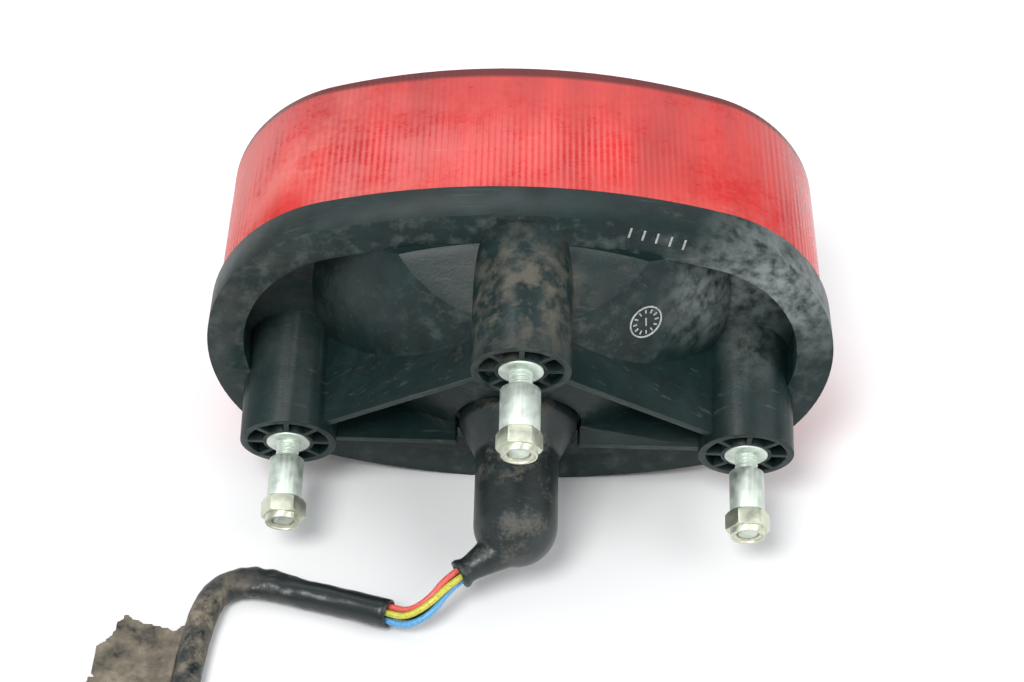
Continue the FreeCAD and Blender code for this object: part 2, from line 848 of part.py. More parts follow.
def make_holder(side, x):
    """Bayonet shell with a foot that runs back to the housing's floor, and its slots for the pins."""
    low = -size("holder_drop")
    base = size("holder_base")
    outer = cylinder(f"holder_{side}_outer", HOLDER_RADIUS, size("holder_height"), upright(x, low))
    foot_length = size("bulb_depth") - size("floor_depth")
    foot = box(
        f"holder_{side}_foot", 14.0, foot_length, base,
        FreeCAD.Placement(lamp_point(x - 7.0, -size("bulb_depth").value, low.value), FreeCAD.Rotation()),
    )
    bore = cylinder(
        f"holder_{side}_bore", HOLDER_BORE, size("holder_height"), upright(x, low + base)
    )
    pin_z = low + size("plunger_lift") + size("plunger_height") + size("contact_height")
    pin_z = pin_z + size("bayonet_pin_lift")
    gap = 0.35
    half = size("bayonet_pin_radius").value + gap
    slot = 2 * half
    swing = HOLDER_RADIUS.value * math.sin(math.radians(size("bayonet_turn").value)) - 0.11
    through = HOLDER_RADIUS - 2.8
    offset_y = -half - swing
    spaces = [bore]
    for turn in (0, 180):
        around = upright(x, pin_z).multiply(
            FreeCAD.Placement(FreeCAD.Vector(), FreeCAD.Rotation(FreeCAD.Vector(0, 0, 1), turn))
        )
        seat_place = offset(4.0, offset_y, -half - 2.2, frame=around)
        entry_place = offset(4.5, offset_y, -half, frame=around)
        spaces.append(box(f"holder_{side}_seat_{turn}", through, slot + swing, slot + 2.2, seat_place))
        spaces.append(box(f"holder_{side}_entry_{turn}", through, slot, 12.0, entry_place))
    window = box(
        f"holder_{side}_window", 11.0, 12.0, 2.0,
        offset(-5.5, 0.0, 0.0, frame=upright(x, low + base)),
    )
    holder = fuse(f"holder_{side}_solid", outer, foot)
    for index, space in enumerate(spaces):
        holder = cut(f"holder_{side}_stage_{index}", holder, space)
    keep(cut(f"bulb_holder_{side}", holder, window))
    disc_radius = HOLDER_BORE - 0.1
    disc_place = upright(x, low + base)
    keep(cylinder(f"socket_insulator_{side}", disc_radius, size("insulator_height"), disc_place))


def make_plunger(side, x):
    """Insulating disc with two contact studs that the bulb presses down."""
    low = -size("holder_drop") + size("plunger_lift")
    disc = cylinder(f"plunger_{side}_disc", PLUNGER_RADIUS, size("plunger_height"), upright(x, low))
    studs = []
    for sign in (-1, 1):
        studs.append(
            cylinder(
                f"plunger_{side}_contact_{sign + 1}", 1.6, size("plunger_height") + size("contact_height"),
                offset(sign * 3.0, 0, 0, frame=upright(x, low)),
            )
        )
    keep(fuse(f"contact_plunger_{side}", disc, *studs))


def make_spring(side, x):
    low = -size("holder_drop") + size("holder_base") + size("insulator_height")
    wire = size("spring_wire")
    rise = size("plunger_lift") - size("holder_base") - size("insulator_height") - wire * 2.0
    radius = size("spring_radius")
    helix = Part.makeLongHelix((rise / size("spring_turns")).value, rise.value, radius.value)
    section = Part.Wire(
        Part.Circle(FreeCAD.Vector(radius.value, 0, 0), FreeCAD.Vector(0, 1, 0), wire.value).toShape()
    )
    coil = Part.Wire(helix).makePipeShell([section], True, True)
    spring = doc.addObject("Part::Feature", f"contact_spring_{side}")
    spring.Shape = coil
    spring.Placement = upright(x, low + wire)
    keep(spring)


def make_bulb(side, x):
    base = -size("holder_drop") + size("plunger_lift") + size("plunger_height") + size("contact_height")
    cap_height = size("cap_height")
    shell = cylinder(f"cap_{side}_shell", size("cap_radius"), cap_height, upright(x, base))
    pin_reach = HOLDER_RADIUS.value
    pin_frame = turned(
        lamp_point(x - pin_reach, -size("bulb_depth").value, (base + size("bayonet_pin_lift")).value),
        SIDE, FreeCAD.Vector(0, 1, 0),
    )
    pin = cylinder(f"cap_{side}_pins", size("bayonet_pin_radius"), 2 * pin_reach, pin_frame)
    keep(fuse(f"bulb_cap_{side}", shell, pin))

    radius = size("glass_radius")
    wall = size("glass_wall")
    height = size("glass_height")
    glass = body(f"bulb_glass_{side}", upright(x, base + cap_height))
    neck = radius * 0.55
    swell = radius * 0.8
    outline = sketch_on(glass, f"glass_{side}_outline", "XZ_Plane")
    polygon(
        outline,
        [
            (0.0, 0.0), (neck, 0.0), (neck, radius * 0.2), (swell, radius * 0.5), (radius, radius),
            (radius, height - radius), (swell, height - radius * 0.4),
            (radius * 0.45, height - radius * 0.08), (0.0, height),
        ],
    )
    revolve(glass, outline)
    hollow = sketch_on(glass, f"glass_{side}_hollow", "XZ_Plane")
    polygon(
        hollow,
        [
            (0.0, wall * 2.0), (neck - wall, wall * 2.0), (neck - wall, radius * 0.2 + wall * 0.4),
            (swell - wall, radius * 0.5 + wall * 0.6), (radius - wall, radius + wall * 0.4),
            (radius - wall, height - radius - wall * 0.4),
            (swell - wall, height - radius * 0.4 - wall * 0.7),
            (radius * 0.4, height - radius * 0.08 - wall), (0.0, height - wall * 1.4),
        ],
    )
    groove = glass.newObject("PartDesign::Groove", f"glass_{side}_space")
    groove.Profile = hollow
    groove.ReferenceAxis = (origin(glass, "Z_Axis"), [""])
    groove.Angle = 360
    doc.recompute()
    keep(glass)

    foot = upright(x, base + cap_height + wall * 2.0)
    rod = 14.0
    parts = []
    for sign in (-1, 1):
        parts.append(cylinder(f"filament_{side}_lead_{sign + 1}", 0.4, rod, offset(sign * 3.0, frame=foot)))
    for level, lift in (("low", rod - 4.0), ("high", rod - 0.4)):
        place = turned(foot.multVec(FreeCAD.Vector(-3.0, 0, lift)), SIDE, FreeCAD.Vector(0, 1, 0))
        parts.append(cylinder(f"filament_{side}_{level}", 0.5, 6.0, place))
    keep(fuse(f"filament_{side}", *parts))


make_lens()
make_gasket()
make_lens_screws()
make_reflector()
for side, x in BULBS.items():
    make_holder(side, x)
    make_plunger(side, x)
    make_spring(side, x)
    make_bulb(side, x)


# ---------------------------------------------------------------- contact strips and leads

def make_strip(name, y):
    """Brass strip across the back of the reflector, on the inner ends of one row of connector pins."""
    width = size("strip_width")
    thickness = size("strip_thickness")
    middle = NECK_FRAME.multVec(FreeCAD.Vector(0, y, -size("pin_tail").value))
    reach = size("bulb_spacing") + 12.0
    corner = middle - FreeCAD.Vector(reach.value / 2, thickness.value / 2, width.value / 2)
    keep(box(name, reach, thickness, width, FreeCAD.Placement(corner, FreeCAD.Rotation())))
    return middle


def tube_path(points, fraction=0.45, label=None):
    """Straight runs through the points, joined by the largest tangent arcs that fit."""
    edges = []
    radii = []
    start = points[0]
    for before, corner, after in zip(points, points[1:], points[2:]):
        toward = corner - before
        away = after - corner
        turn = toward.getAngle(away)
        shorter = min(toward.Length, away.Length)
        trim = shorter * fraction
        radii.append(trim / math.tan(turn / 2))
        toward.normalize()
        away.normalize()
        first = corner - toward * trim
        last = corner + away * trim
        inward = away - toward
        inward.normalize()
        bulge = radii[-1] * (1 / math.cos(turn / 2) - 1)
        middle = corner + inward * bulge
        edges.append(Part.LineSegment(start, first).toShape())
        edges.append(Part.Arc(first, middle, last).toShape())
        start = last
    edges.append(Part.LineSegment(start, points[-1]).toShape())
    if label:
        print(label, "radii", [round(radius, 1) for radius in radii])
    return Part.Wire(edges)


def tube(name, points, radius, label=None):
    radius = number(radius).value
    spine = tube_path(points, label=label)
    heading = points[1] - points[0]
    section = Part.Wire(Part.Circle(points[0], heading, radius).toShape())
    thing = doc.addObject("Part::Feature", name)
    thing.Shape = spine.makePipeShell([section], True, False)
    expected = math.pi * radius ** 2 * spine.Length
    share = thing.Shape.Volume / expected
    if label:
        print(label, "length", round(spine.Length, 1), "volume over section times length", round(share, 3))
    return thing


STRIP_MIDDLES = {
    "tail_strip": make_strip("tail_strip", PIN_SPOTS[0][1]),
    "ground_strip": make_strip("ground_strip", 0.0),
    "brake_strip": make_strip("brake_strip", PIN_SPOTS[2][1]),
}


def make_leads(side, x):
    """Three short insulated leads from the strips down and forward to the bulb holder."""
    low = lamp_point(0, 0, -size("holder_drop").value).z
    base = size("holder_base").value
    floor = low + base + size("insulator_height").value / 2
    rim = -size("bulb_depth").value + HOLDER_BORE.value
    half = size("strip_width").value / 2
    thickness = size("strip_thickness").value / 2
    radius = size("lead_radius").value
    tail = STRIP_MIDDLES["tail_strip"]
    ground = STRIP_MIDDLES["ground_strip"]
    brake = STRIP_MIDDLES["brake_strip"]
    routes = [
        [
            FreeCAD.Vector(x - 3.5, tail.y, tail.z - half),
            FreeCAD.Vector(x - 3.5, tail.y + 0.5, low + 14),
            FreeCAD.Vector(x - 3.5, tail.y - 8.5, low + 6),
            FreeCAD.Vector(x - 3.0, rim + 4.0, floor),
            FreeCAD.Vector(x - 2.6, rim - 0.55, floor),
        ],
        [
            FreeCAD.Vector(x + 5.0, ground.y + thickness + radius, ground.z),
            FreeCAD.Vector(x + 5.0, ground.y + thickness + radius, low + 12),
            FreeCAD.Vector(x + 5.4, ground.y - 7.0, low + 7),
            FreeCAD.Vector(x + 5.6, ground.y - 10.0, low + base),
        ],
        [
            FreeCAD.Vector(x + 2.5, brake.y, brake.z - half),
            FreeCAD.Vector(x + 2.5, brake.y - 0.5, low + 14),
            FreeCAD.Vector(x + 2.5, brake.y - 7.0, low + 6),
            FreeCAD.Vector(x + 2.2, rim + 4.0, floor),
            FreeCAD.Vector(x + 2.0, rim - 0.4, floor),
        ],
    ]
    leads = [tube(f"lead_{side}_{index}", route, radius) for index, route in enumerate(routes)]
    keep(group(f"bulb_leads_{side}", leads))


for side, x in BULBS.items():
    make_leads(side, x)


# ---------------------------------------------------------------- plug, boot and wires

def make_plug():
    start = offset(z=size("plug_start"), frame=NECK_FRAME)
    shell = cylinder("plug_shell", size("plug_radius"), size("plug_length"), start)
    sleeves = []
    for index, (x, y) in enumerate(PIN_SPOTS, start=1):
        sleeves.append(
            cylinder(
                f"terminal_{index}", size("terminal_radius"), size("plug_length") - 0.5,
                offset(x, y, size("plug_start"), frame=NECK_FRAME),
            )
        )
    ends = [
        cylinder(
            f"terminal_way_{index}", size("terminal_radius"), size("plug_length"),
            offset(x, y, size("plug_start"), frame=NECK_FRAME),
        )
        for index, (x, y) in enumerate(PIN_SPOTS, start=1)
    ]
    keep(cut("plug_body", shell, fuse("terminal_ways", *ends)))
    terminals = [
        cut(f"terminal_{index}_bored", sleeve, pin)
        for index, (sleeve, pin) in enumerate(zip(sleeves, pins), start=1)
    ]
    keep(group("plug_terminals", terminals))


NOZZLE_HEADING = FreeCAD.Vector(0.82, 0.51, -0.26)
NOZZLE_HEADING.normalize()
NOZZLE = turned(NECK_FRAME.multVec(FreeCAD.Vector(0, 0, size("boot_nozzle_start").value)), NOZZLE_HEADING)


def make_boot():
    ring_height = size("boot_ring_height")
    shoulder = size("boot_shoulder")
    dome = size("boot_dome_start")
    radius = BOOT_RADIUS
    inner = BOOT_BORE
    length = size("boot_nozzle_length")
    lip = size("boot_lip_thickness")
    ring = cylinder("boot_ring", size("boot_ring_radius"), ring_height, NECK_FRAME)
    cone = make(
        "Part::Cone", "boot_cone", offset(z=ring_height, frame=NECK_FRAME),
        Radius1=size("boot_ring_radius"), Radius2=radius, Height=shoulder - ring_height,
    )
    barrel = cylinder("boot_barrel", radius, dome, NECK_FRAME)
    end = make("Part::Sphere", "boot_end", offset(z=dome, frame=NECK_FRAME), Radius=radius)
    nozzle = cylinder("boot_nozzle", size("boot_nozzle_radius"), length, NOZZLE)
    root = make(
        "Part::Cone", "boot_nozzle_root", NOZZLE,
        Radius1=size("boot_nozzle_radius") * 1.9, Radius2=size("boot_nozzle_radius"), Height=length * 0.8,
    )
    rim = cylinder("boot_lip", size("boot_lip_radius"), lip, offset(z=length - lip, frame=NOZZLE))
    space = cylinder("boot_space", inner, dome, NECK_FRAME)
    space_end = make("Part::Sphere", "boot_space_end", offset(z=dome, frame=NECK_FRAME), Radius=inner)
    way = cylinder("boot_way", size("boot_nozzle_bore"), length, NOZZLE)
    keep(
        cut(
            "boot", fuse("boot_solid", ring, cone, barrel, end, nozzle, root, rim),
            fuse("boot_inside", space, space_end, way),
        )
    )


make_plug()
make_boot()

# Route of the harness sleeve: first point is its mouth, the last one is where the coil starts.
SLEEVE_ROUTE = [
    FreeCAD.Vector(31.2, 55.2, 5.4),
    FreeCAD.Vector(42.5, 50.9, 4.3),
    FreeCAD.Vector(53.0, 48.2, 4.0),
    FreeCAD.Vector(62.5, 45.0, 4.2),
    FreeCAD.Vector(70.8, 44.6, 4.0),
    FreeCAD.Vector(76.4, 49.6, 4.0),
    FreeCAD.Vector(78.6, 59.0, 4.0),
    FreeCAD.Vector(79.6, 70.5, 4.0),
    FreeCAD.Vector(80.6, 86.0, 4.0),
    FreeCAD.Vector(80.4, 106.0, 4.0),
    FreeCAD.Vector(81.0, 131.0, 4.0),
]

# Each wire's way in the plug, then its place in the bundle as (up, toward the back) at the nozzle,
# half way and at the sleeve's mouth.
WIRE_PLACES = {
    "wire_red": (0, (1.27, -0.7), (0.7, -1.1), (-0.1, -1.3)),
    "wire_yellow": (3, (0.7, 1.27), (1.4, 0.9), (1.9, 0.6)),
    "wire_black": (1, (-0.7, -1.27), (-1.9, -0.7), (-2.0, -0.3)),
    "wire_blue": (2, (-1.27, 0.7), (-0.6, 1.1), (0.0, 1.3)),
}


def place_in_bundle(point, heading, place):
    heading = FreeCAD.Vector(heading)
    heading.normalize()
    across = heading.cross(FreeCAD.Vector(0, 0, 1))
    across.normalize()
    back = across if across.y > 0 else across * -1
    up = back.cross(heading) if back.cross(heading).z > 0 else heading.cross(back)
    return point + up * place[0] + back * place[1]


def make_wires():
    mouth_heading = SLEEVE_ROUTE[1] - SLEEVE_ROUTE[0]
    mouth_heading.normalize()
    inside = NOZZLE.multVec(FreeCAD.Vector(0, 0, 6.0))
    outside = NOZZLE.multVec(FreeCAD.Vector(0, 0, size("boot_nozzle_length").value + 3.0))
    before = SLEEVE_ROUTE[0] - mouth_heading * 5.0
    heading = FreeCAD.Vector(1, 0, -0.3)
    half_way = (outside + before) * 0.5 + FreeCAD.Vector(-0.6, 2.2, 0.2)
    for name, (spot, *places) in WIRE_PLACES.items():
        x, y = PIN_SPOTS[spot]
        start_depth = size("plug_start").value + size("plug_length").value - 0.5
        points = [
            NECK_FRAME.multVec(FreeCAD.Vector(x, y, start_depth)),
            NECK_FRAME.multVec(FreeCAD.Vector(x * 0.55, y * 0.55, start_depth + 9.0)),
            place_in_bundle(inside, NOZZLE_HEADING, places[0]),
            place_in_bundle(outside, NOZZLE_HEADING, places[0]),
            place_in_bundle(half_way, heading, places[1]),
            place_in_bundle(before, mouth_heading, places[2]),
            place_in_bundle(SLEEVE_ROUTE[0], mouth_heading, places[2]),
        ]
        keep(tube(name, points, size("wire_radius"), label=name))


make_wires()

# ---------------------------------------------------------------- harness

COIL_CENTRE = SLEEVE_ROUTE[-1] - SIDE * (size("coil_radius").value + size("sleeve_radius").value)


def coil_point(degrees):
    """Point on the wound sleeve: one outer turn, then half a turn that closes in on the plug."""
    radius = size("coil_radius").value
    step = size("sleeve_radius").value
    inner = size("coil_inner_end").value
    if degrees <= 360:
        distance = radius + step - 2 * step * degrees / 360
    else:
        distance = radius - step - (radius - step - inner) * (degrees - 360) / 180
    angle = math.radians(degrees)
    return COIL_CENTRE + FreeCAD.Vector(math.cos(angle), math.sin(angle), 0) * distance


def make_harness():
    radius = size("sleeve_radius")
    low = FreeCAD.Placement(COIL_CENTRE - FreeCAD.Vector(0, 0, radius.value), FreeCAD.Rotation())
    sleeve = tube("sleeve_run", SLEEVE_ROUTE, radius, label="harness_sleeve")
    outer = cylinder("coil_outer", size("coil_radius") + radius * 2.0, radius * 2.0, low)
    inner = cylinder("coil_inner", size("coil_radius") - radius * 2.0, radius * 2.0, low)
    coil = keep(cut("harness_coil", outer, inner))
    keep(cut("harness_sleeve", sleeve, coil))
    tail = [coil_point(degrees) for degrees in range(375, 541, 33)]
    keep(cut("harness_tail", tube("tail_run", tail, radius, label="harness_tail"), coil))
    end = tail[-1]
    heading = tail[-1] - tail[-2]
    heading.normalize()
    width = size("far_plug_width")
    height = size("far_plug_height")
    frame = turned(end, heading, FreeCAD.Vector(0, 0, 1))
    plug_place = offset(-end.z + 0.2, -width.value / 2, 0, frame=frame)
    plug = box("far_plug_block", height, width, size("far_plug_length"), plug_place)
    ways = []
    pins_out = []
    for row in (-1, 1):
        for column in (-1, 1):
            spot = offset(
                -end.z + 0.2 + height.value / 2 + row * 2.2, column * 2.6,
                size("far_plug_length").value - 9.0, frame=frame,
            )
            name = f"{row + 1}_{column + 1}"
            ways.append(cylinder(f"far_way_{name}", 1.5, 9.0, spot))
            pins_out.append(cylinder(f"far_contact_{name}", 0.9, 7.5, spot))
    keep(cut("harness_plug", plug, fuse("far_ways", *ways)))
    keep(group("harness_plug_contacts", pins_out))


def make_tape():
    """Torn end of the harness tape, stuck to the sleeve's side and lying on the table."""
    flap = body("tape")
    outline = sketch_on(flap, "tape_outline", "XY_Plane", 0.3)
    corners = [(80.2, 60.5), (89.0, 58.8), (98.5, 54.5), (100.5, 62.0), (104.0, 66.0), (103.5, 75.0),
               (108.5, 84.0), (104.0, 93.0), (95.0, 95.0), (81.8, 89.0)]
    polygon(outline, corners)
    pad(flap, outline, size("tape_thickness"))
    keep(cut("tape_flap", flap, doc.getObject("harness_sleeve")))


make_harness()
make_tape()
doc.recompute()

for thing in doc.Objects:
    if any(flag in ("Invalid", "Error") for flag in thing.State):
        raise RuntimeError(f"{thing.Name} did not build: {thing.State}")
for thing in nodes:
    if thing.Shape.isNull() or not thing.Shape.isValid():
        raise RuntimeError(f"{thing.Label} has no valid shape")
    thing.Shape.exportStep(os.path.join("parts", thing.Label + ".step"))
print(len(nodes), "nodes")
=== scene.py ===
import json
import math

import bmesh
import bpy
from bpy.props import FloatProperty, FloatVectorProperty, PointerProperty
from mathutils import Matrix, Vector, noise


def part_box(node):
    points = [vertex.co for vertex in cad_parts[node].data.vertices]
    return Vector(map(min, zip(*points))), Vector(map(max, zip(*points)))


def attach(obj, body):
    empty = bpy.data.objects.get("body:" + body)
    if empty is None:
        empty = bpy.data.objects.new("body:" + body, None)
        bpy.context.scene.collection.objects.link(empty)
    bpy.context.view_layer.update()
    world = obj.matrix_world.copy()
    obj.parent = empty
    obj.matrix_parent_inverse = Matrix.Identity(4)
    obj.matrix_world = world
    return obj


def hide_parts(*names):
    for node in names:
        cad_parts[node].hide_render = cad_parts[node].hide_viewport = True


bl_info = {
    "name": "Oval tail light",
    "version": (1, 0, 0),
    "blender": (4, 5, 0),
    "location": "View3D > Sidebar > Tail light",
    "description": "Builds the finish, cords and studio of an oval motorcycle tail light",
    "category": "Object",
}

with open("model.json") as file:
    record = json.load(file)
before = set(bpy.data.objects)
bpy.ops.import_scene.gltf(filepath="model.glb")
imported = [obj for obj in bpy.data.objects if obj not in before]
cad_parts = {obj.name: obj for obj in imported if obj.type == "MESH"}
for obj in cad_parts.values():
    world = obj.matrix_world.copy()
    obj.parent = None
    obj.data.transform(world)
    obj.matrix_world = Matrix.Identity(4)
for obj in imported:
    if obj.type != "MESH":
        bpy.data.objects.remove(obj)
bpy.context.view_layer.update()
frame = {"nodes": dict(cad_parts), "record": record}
MM = 0.001
SLEEVE_RADIUS = 3.65
MOUNTS = {mount["name"]: mount for mount in frame["record"]["mounts"]}


# ---------------------------------------------------------------- settings

def colour(name, default, description):
    return FloatVectorProperty(
        name=name, description=description, default=default, subtype="COLOR", size=3, min=0.0, max=1.0
    )


def length(name, default, description):
    return FloatProperty(name=name, description=description, default=default, unit="LENGTH", min=0.0)


def share(name, default, description):
    return FloatProperty(
        name=name, description=description, default=default, subtype="FACTOR", min=0.0, max=1.0
    )


class StageSettings(bpy.types.PropertyGroup):
    elevation: FloatProperty(
        name="Elevation", description="How far the camera looks down", default=math.radians(42.131),
        subtype="ANGLE",
    )
    heading: FloatProperty(
        name="Heading", description="Camera's turn about the upright axis", default=math.radians(0.498),
        subtype="ANGLE",
    )
    roll: FloatProperty(
        name="Roll", description="Camera's turn about its own line of sight", default=math.radians(1.993),
        subtype="ANGLE",
    )
    distance: length("Distance", 0.669, "From the camera to the middle of the flange")
    aside: length("Aside", 0.00211, "How far the light sits right of the picture's centre")
    below: length("Below", 0.00289, "How far the light sits under the picture's centre")
    focal: FloatProperty(
        name="Focal length", description="In millimetres, for a 36 mm sensor", default=91.406
    )
    floor: colour("Floor", (0.88, 0.885, 0.885), "Colour of the table")


class LensSettings(bpy.types.PropertyGroup):
    red: colour("Red", (0.72, 0.010, 0.009), "Moulded red of the lens")
    # Deep red is the darker random tone in the red; scaled far down, it is also the painted shade on the side
    # faces by the front edge.
    deep: colour("Deep red", (0.42, 0.006, 0.006), "Red where the plastic is thick or in shade")
    haze: colour("Haze", (0.80, 0.30, 0.26), "Dust and fine scratches on the red")
    haze_amount: share("Haze amount", 0.17, "How much of the lens the dust dulls")
    flute: length("Flute pitch", 0.0016, "Distance between the fine moulded ribs")


class HousingSettings(bpy.types.PropertyGroup):
    black: colour("Black", (0.0042, 0.0128, 0.0125), "Moulded black of the housing")
    dust: colour("Dust", (0.15, 0.135, 0.105), "Dry brown dust")
    chalk: colour("Chalk", (0.17, 0.195, 0.185), "Pale scuffs on the plastic")
    edge: length("Edge radius", 0.00045, "Rounding of the moulded edges")


class MetalSettings(bpy.types.PropertyGroup):
    zinc: colour("Zinc", (0.78, 0.86, 0.78), "Plating of studs and sleeves")
    nut: colour("Nut", (0.76, 0.80, 0.64), "Yellowish plating of the nuts")
    nylon: colour("Nylon", (0.62, 0.60, 0.50), "Lock ring in each nut")
    brass: colour("Brass", (0.72, 0.50, 0.20), "Pins, strips and bulb caps")
    pitch: length("Thread pitch", 0.001, "Pitch of the stud's thread")


class HarnessSettings(bpy.types.PropertyGroup):
    wire: length("Wire", 0.0017, "Diameter of one wire")
    sleeve: length("Sleeve", 2 * SLEEVE_RADIUS * MM, "Outer diameter of the vinyl sleeve")
    red: colour("Red wire", (0.66, 0.11, 0.09), "Faded red insulation")
    yellow: colour("Yellow-green wire", (0.52, 0.50, 0.06), "Yellow-green insulation")
    black: colour("Black wire", (0.012, 0.012, 0.014), "Black insulation")
    blue: colour("Blue wire", (0.10, 0.33, 0.60), "Sky-blue insulation")
    vinyl: colour("Vinyl", (0.010, 0.015, 0.015), "Black sleeve")
    mud: colour("Mud", (0.25, 0.215, 0.160), "Dried mud on the sleeve and tape")


GROUPS = {
    "light_stage": StageSettings,
    "light_lens": LensSettings,
    "light_housing": HousingSettings,
    "light_metal": MetalSettings,
    "light_harness": HarnessSettings,
}


# ---------------------------------------------------------------- shader trees

def scaled(values, factor):
    return tuple(value * factor for value in values)


class Graph:
    """Adds nodes to one shader tree and joins them."""

    def __init__(self, tree):
        self.tree = tree

    def add(self, kind, sockets=None, **settings):
        """New node with its settings, its sockets fed by name or by number."""
        node = self.tree.nodes.new(kind)
        for name, value in settings.items():
            setattr(node, name, value)
        for name, value in (sockets or {}).items():
            self.feed(node.inputs[name], value)
        return node

    def feed(self, socket, value):
        if isinstance(value, bpy.types.NodeSocket):
            self.tree.links.new(value, socket)
        elif hasattr(value, "__len__") and len(value) == 3 and socket.type == "RGBA":
            socket.default_value = (*value, 1.0)
        else:
            socket.default_value = value

    def math(self, operation, first, second=0.0):
        return self.add("ShaderNodeMath", {0: first, 1: second}, operation=operation).outputs[0]

    def between(self, value, low, high, to_low=0.0, to_high=1.0):
        sockets = {"Value": value, "From Min": low, "From Max": high, "To Min": to_low, "To Max": to_high}
        return self.add("ShaderNodeMapRange", sockets).outputs["Result"]

    def mix(self, factor, first, second):
        """Blend of two colours, which the Mix node keeps in its sockets 6 and 7."""
        return self.add("ShaderNodeMix", {0: factor, 6: first, 7: second}, data_type="RGBA").outputs[2]

    def place(self):
        return self.add("ShaderNodeTexCoord").outputs["Object"]

    def stretched(self, scale, rotation=(0.0, 0.0, 0.0)):
        sockets = {"Vector": self.place(), "Scale": scale, "Rotation": rotation}
        return self.add("ShaderNodeMapping", sockets).outputs[0]

    def noise(self, scale, detail=4.0, roughness=0.6, vector=None):
        sockets = {
            "Vector": vector or self.place(), "Scale": scale, "Detail": detail, "Roughness": roughness
        }
        return self.add("ShaderNodeTexNoise", sockets).outputs["Fac"]

    def split(self, vector):
        return self.add("ShaderNodeSeparateXYZ", {"Vector": vector}).outputs

    def normal(self):
        return self.split(self.add("ShaderNodeNewGeometry").outputs["Normal"])

    def near(self, centre, radius, soft=0.5):
        """Mask that is 1 inside a ball round a point in millimetres and fades over its rim."""
        sockets = {0: self.place(), 1: scaled(centre, MM)}
        away = self.add("ShaderNodeVectorMath", sockets, operation="DISTANCE").outputs["Value"]
        return self.between(away, radius * MM * (1 - soft), radius * MM * (1 + soft), 1.0, 0.0)

    def patchy(self, area, scale, low, high, detail=6.0):
        """The area's mask broken into patches by noise."""
        return self.math("MULTIPLY", area, self.between(self.noise(scale, detail=detail), low, high))

    def use(self, group, **sockets):
        node = self.add("ShaderNodeGroup", node_tree=group)
        for name, value in sockets.items():
            self.feed(node.inputs[name.replace("_", " ")], value)
        return node.outputs


def new_group(name, inputs, outputs):
    """Empty node group with float inputs and outputs, its graph, inputs and output node."""
    tree = bpy.data.node_groups.new(name, "ShaderNodeTree")
    number = "NodeSocketFloat"
    for label, default in inputs.items():
        socket = tree.interface.new_socket(label, in_out="INPUT", socket_type=number)
        socket.default_value = default
    for label in outputs:
        tree.interface.new_socket(label, in_out="OUTPUT", socket_type=number)
    graph = Graph(tree)
    return tree, graph, graph.add("NodeGroupInput").outputs, graph.add("NodeGroupOutput")


def make_dust_group():
    """Dust that lies in patches: more on faces that look up, less on the rest."""
    tree, graph, given, out = new_group(
        "Settled dust", {"Scale": 60.0, "Cover": 0.5, "Upward": 0.6, "Soft": 0.2}, ("Mask",)
    )
    patches = graph.noise(given["Scale"], detail=8.0, roughness=0.7)
    fine = graph.noise(graph.math("MULTIPLY", given["Scale"], 14.0), detail=3.0)
    up = graph.between(graph.normal()["Z"], -0.2, 1.0)
    lift = graph.math("MULTIPLY", up, given["Upward"])
    level = graph.math("ADD", graph.math("MULTIPLY", fine, 0.25), graph.math("MULTIPLY", lift, 0.25))
    amount = graph.math("ADD", patches, level)
    low = graph.math("SUBTRACT", 1.05, given["Cover"])
    high = graph.math("ADD", low, given["Soft"])
    graph.feed(out.inputs["Mask"], graph.between(amount, low, high))
    return tree


def make_grain_group():
    """Fine leathery grain of moulded plastic and rubber, as a height."""
    tree, graph, given, out = new_group("Moulded grain", {"Scale": 1500.0, "Broad": 120.0}, ("Height",))
    fine = graph.noise(given["Scale"], detail=2.0)
    broad = graph.noise(given["Broad"], detail=3.0)
    graph.feed(out.inputs["Height"], graph.math("ADD", graph.math("MULTIPLY", fine, 0.6), broad))
    return tree


def make_scratch_group():
    """Sparse thin scratches, stretched along one way."""
    tree, graph, given, out = new_group("Scratches", {"Scale": 40.0, "Cover": 0.3}, ("Mask",))
    vector = graph.stretched((1.0, 14.0, 5.0), (0.3, 0.2, 0.5))
    lines = graph.noise(given["Scale"], detail=6.0, roughness=0.75, vector=vector)
    low = graph.math("SUBTRACT", 0.95, given["Cover"])
    graph.feed(out.inputs["Mask"], graph.between(lines, low, graph.math("ADD", low, 0.08)))
    return tree


TREES = {}


def shared(name):
    makers = {"dust": make_dust_group, "grain": make_grain_group, "scratch": make_scratch_group}
    if name not in TREES:
        TREES[name] = makers[name]()
    return TREES[name]


def new_material(name, **sockets):
    """Material with its Principled shader's plain sockets set, and the graph to add to."""
    material = bpy.data.materials.new(name)
    material.use_nodes = True
    graph = Graph(material.node_tree)
    shader = material.node_tree.nodes["Principled BSDF"]
    for label, value in sockets.items():
        graph.feed(shader.inputs[label.replace("_", " ")], value)
    return material, graph, shader.inputs


def bump(graph, height, depth):
    return graph.add("ShaderNodeBump", {"Height": height, "Distance": depth}).outputs["Normal"]


def mottled(graph, tone, base, dark, light):
    """The base colour in cloudy shades, between its dark and its light share."""
    return graph.mix(graph.between(tone, 0.3, 0.7), scaled(base, dark), scaled(base, light))


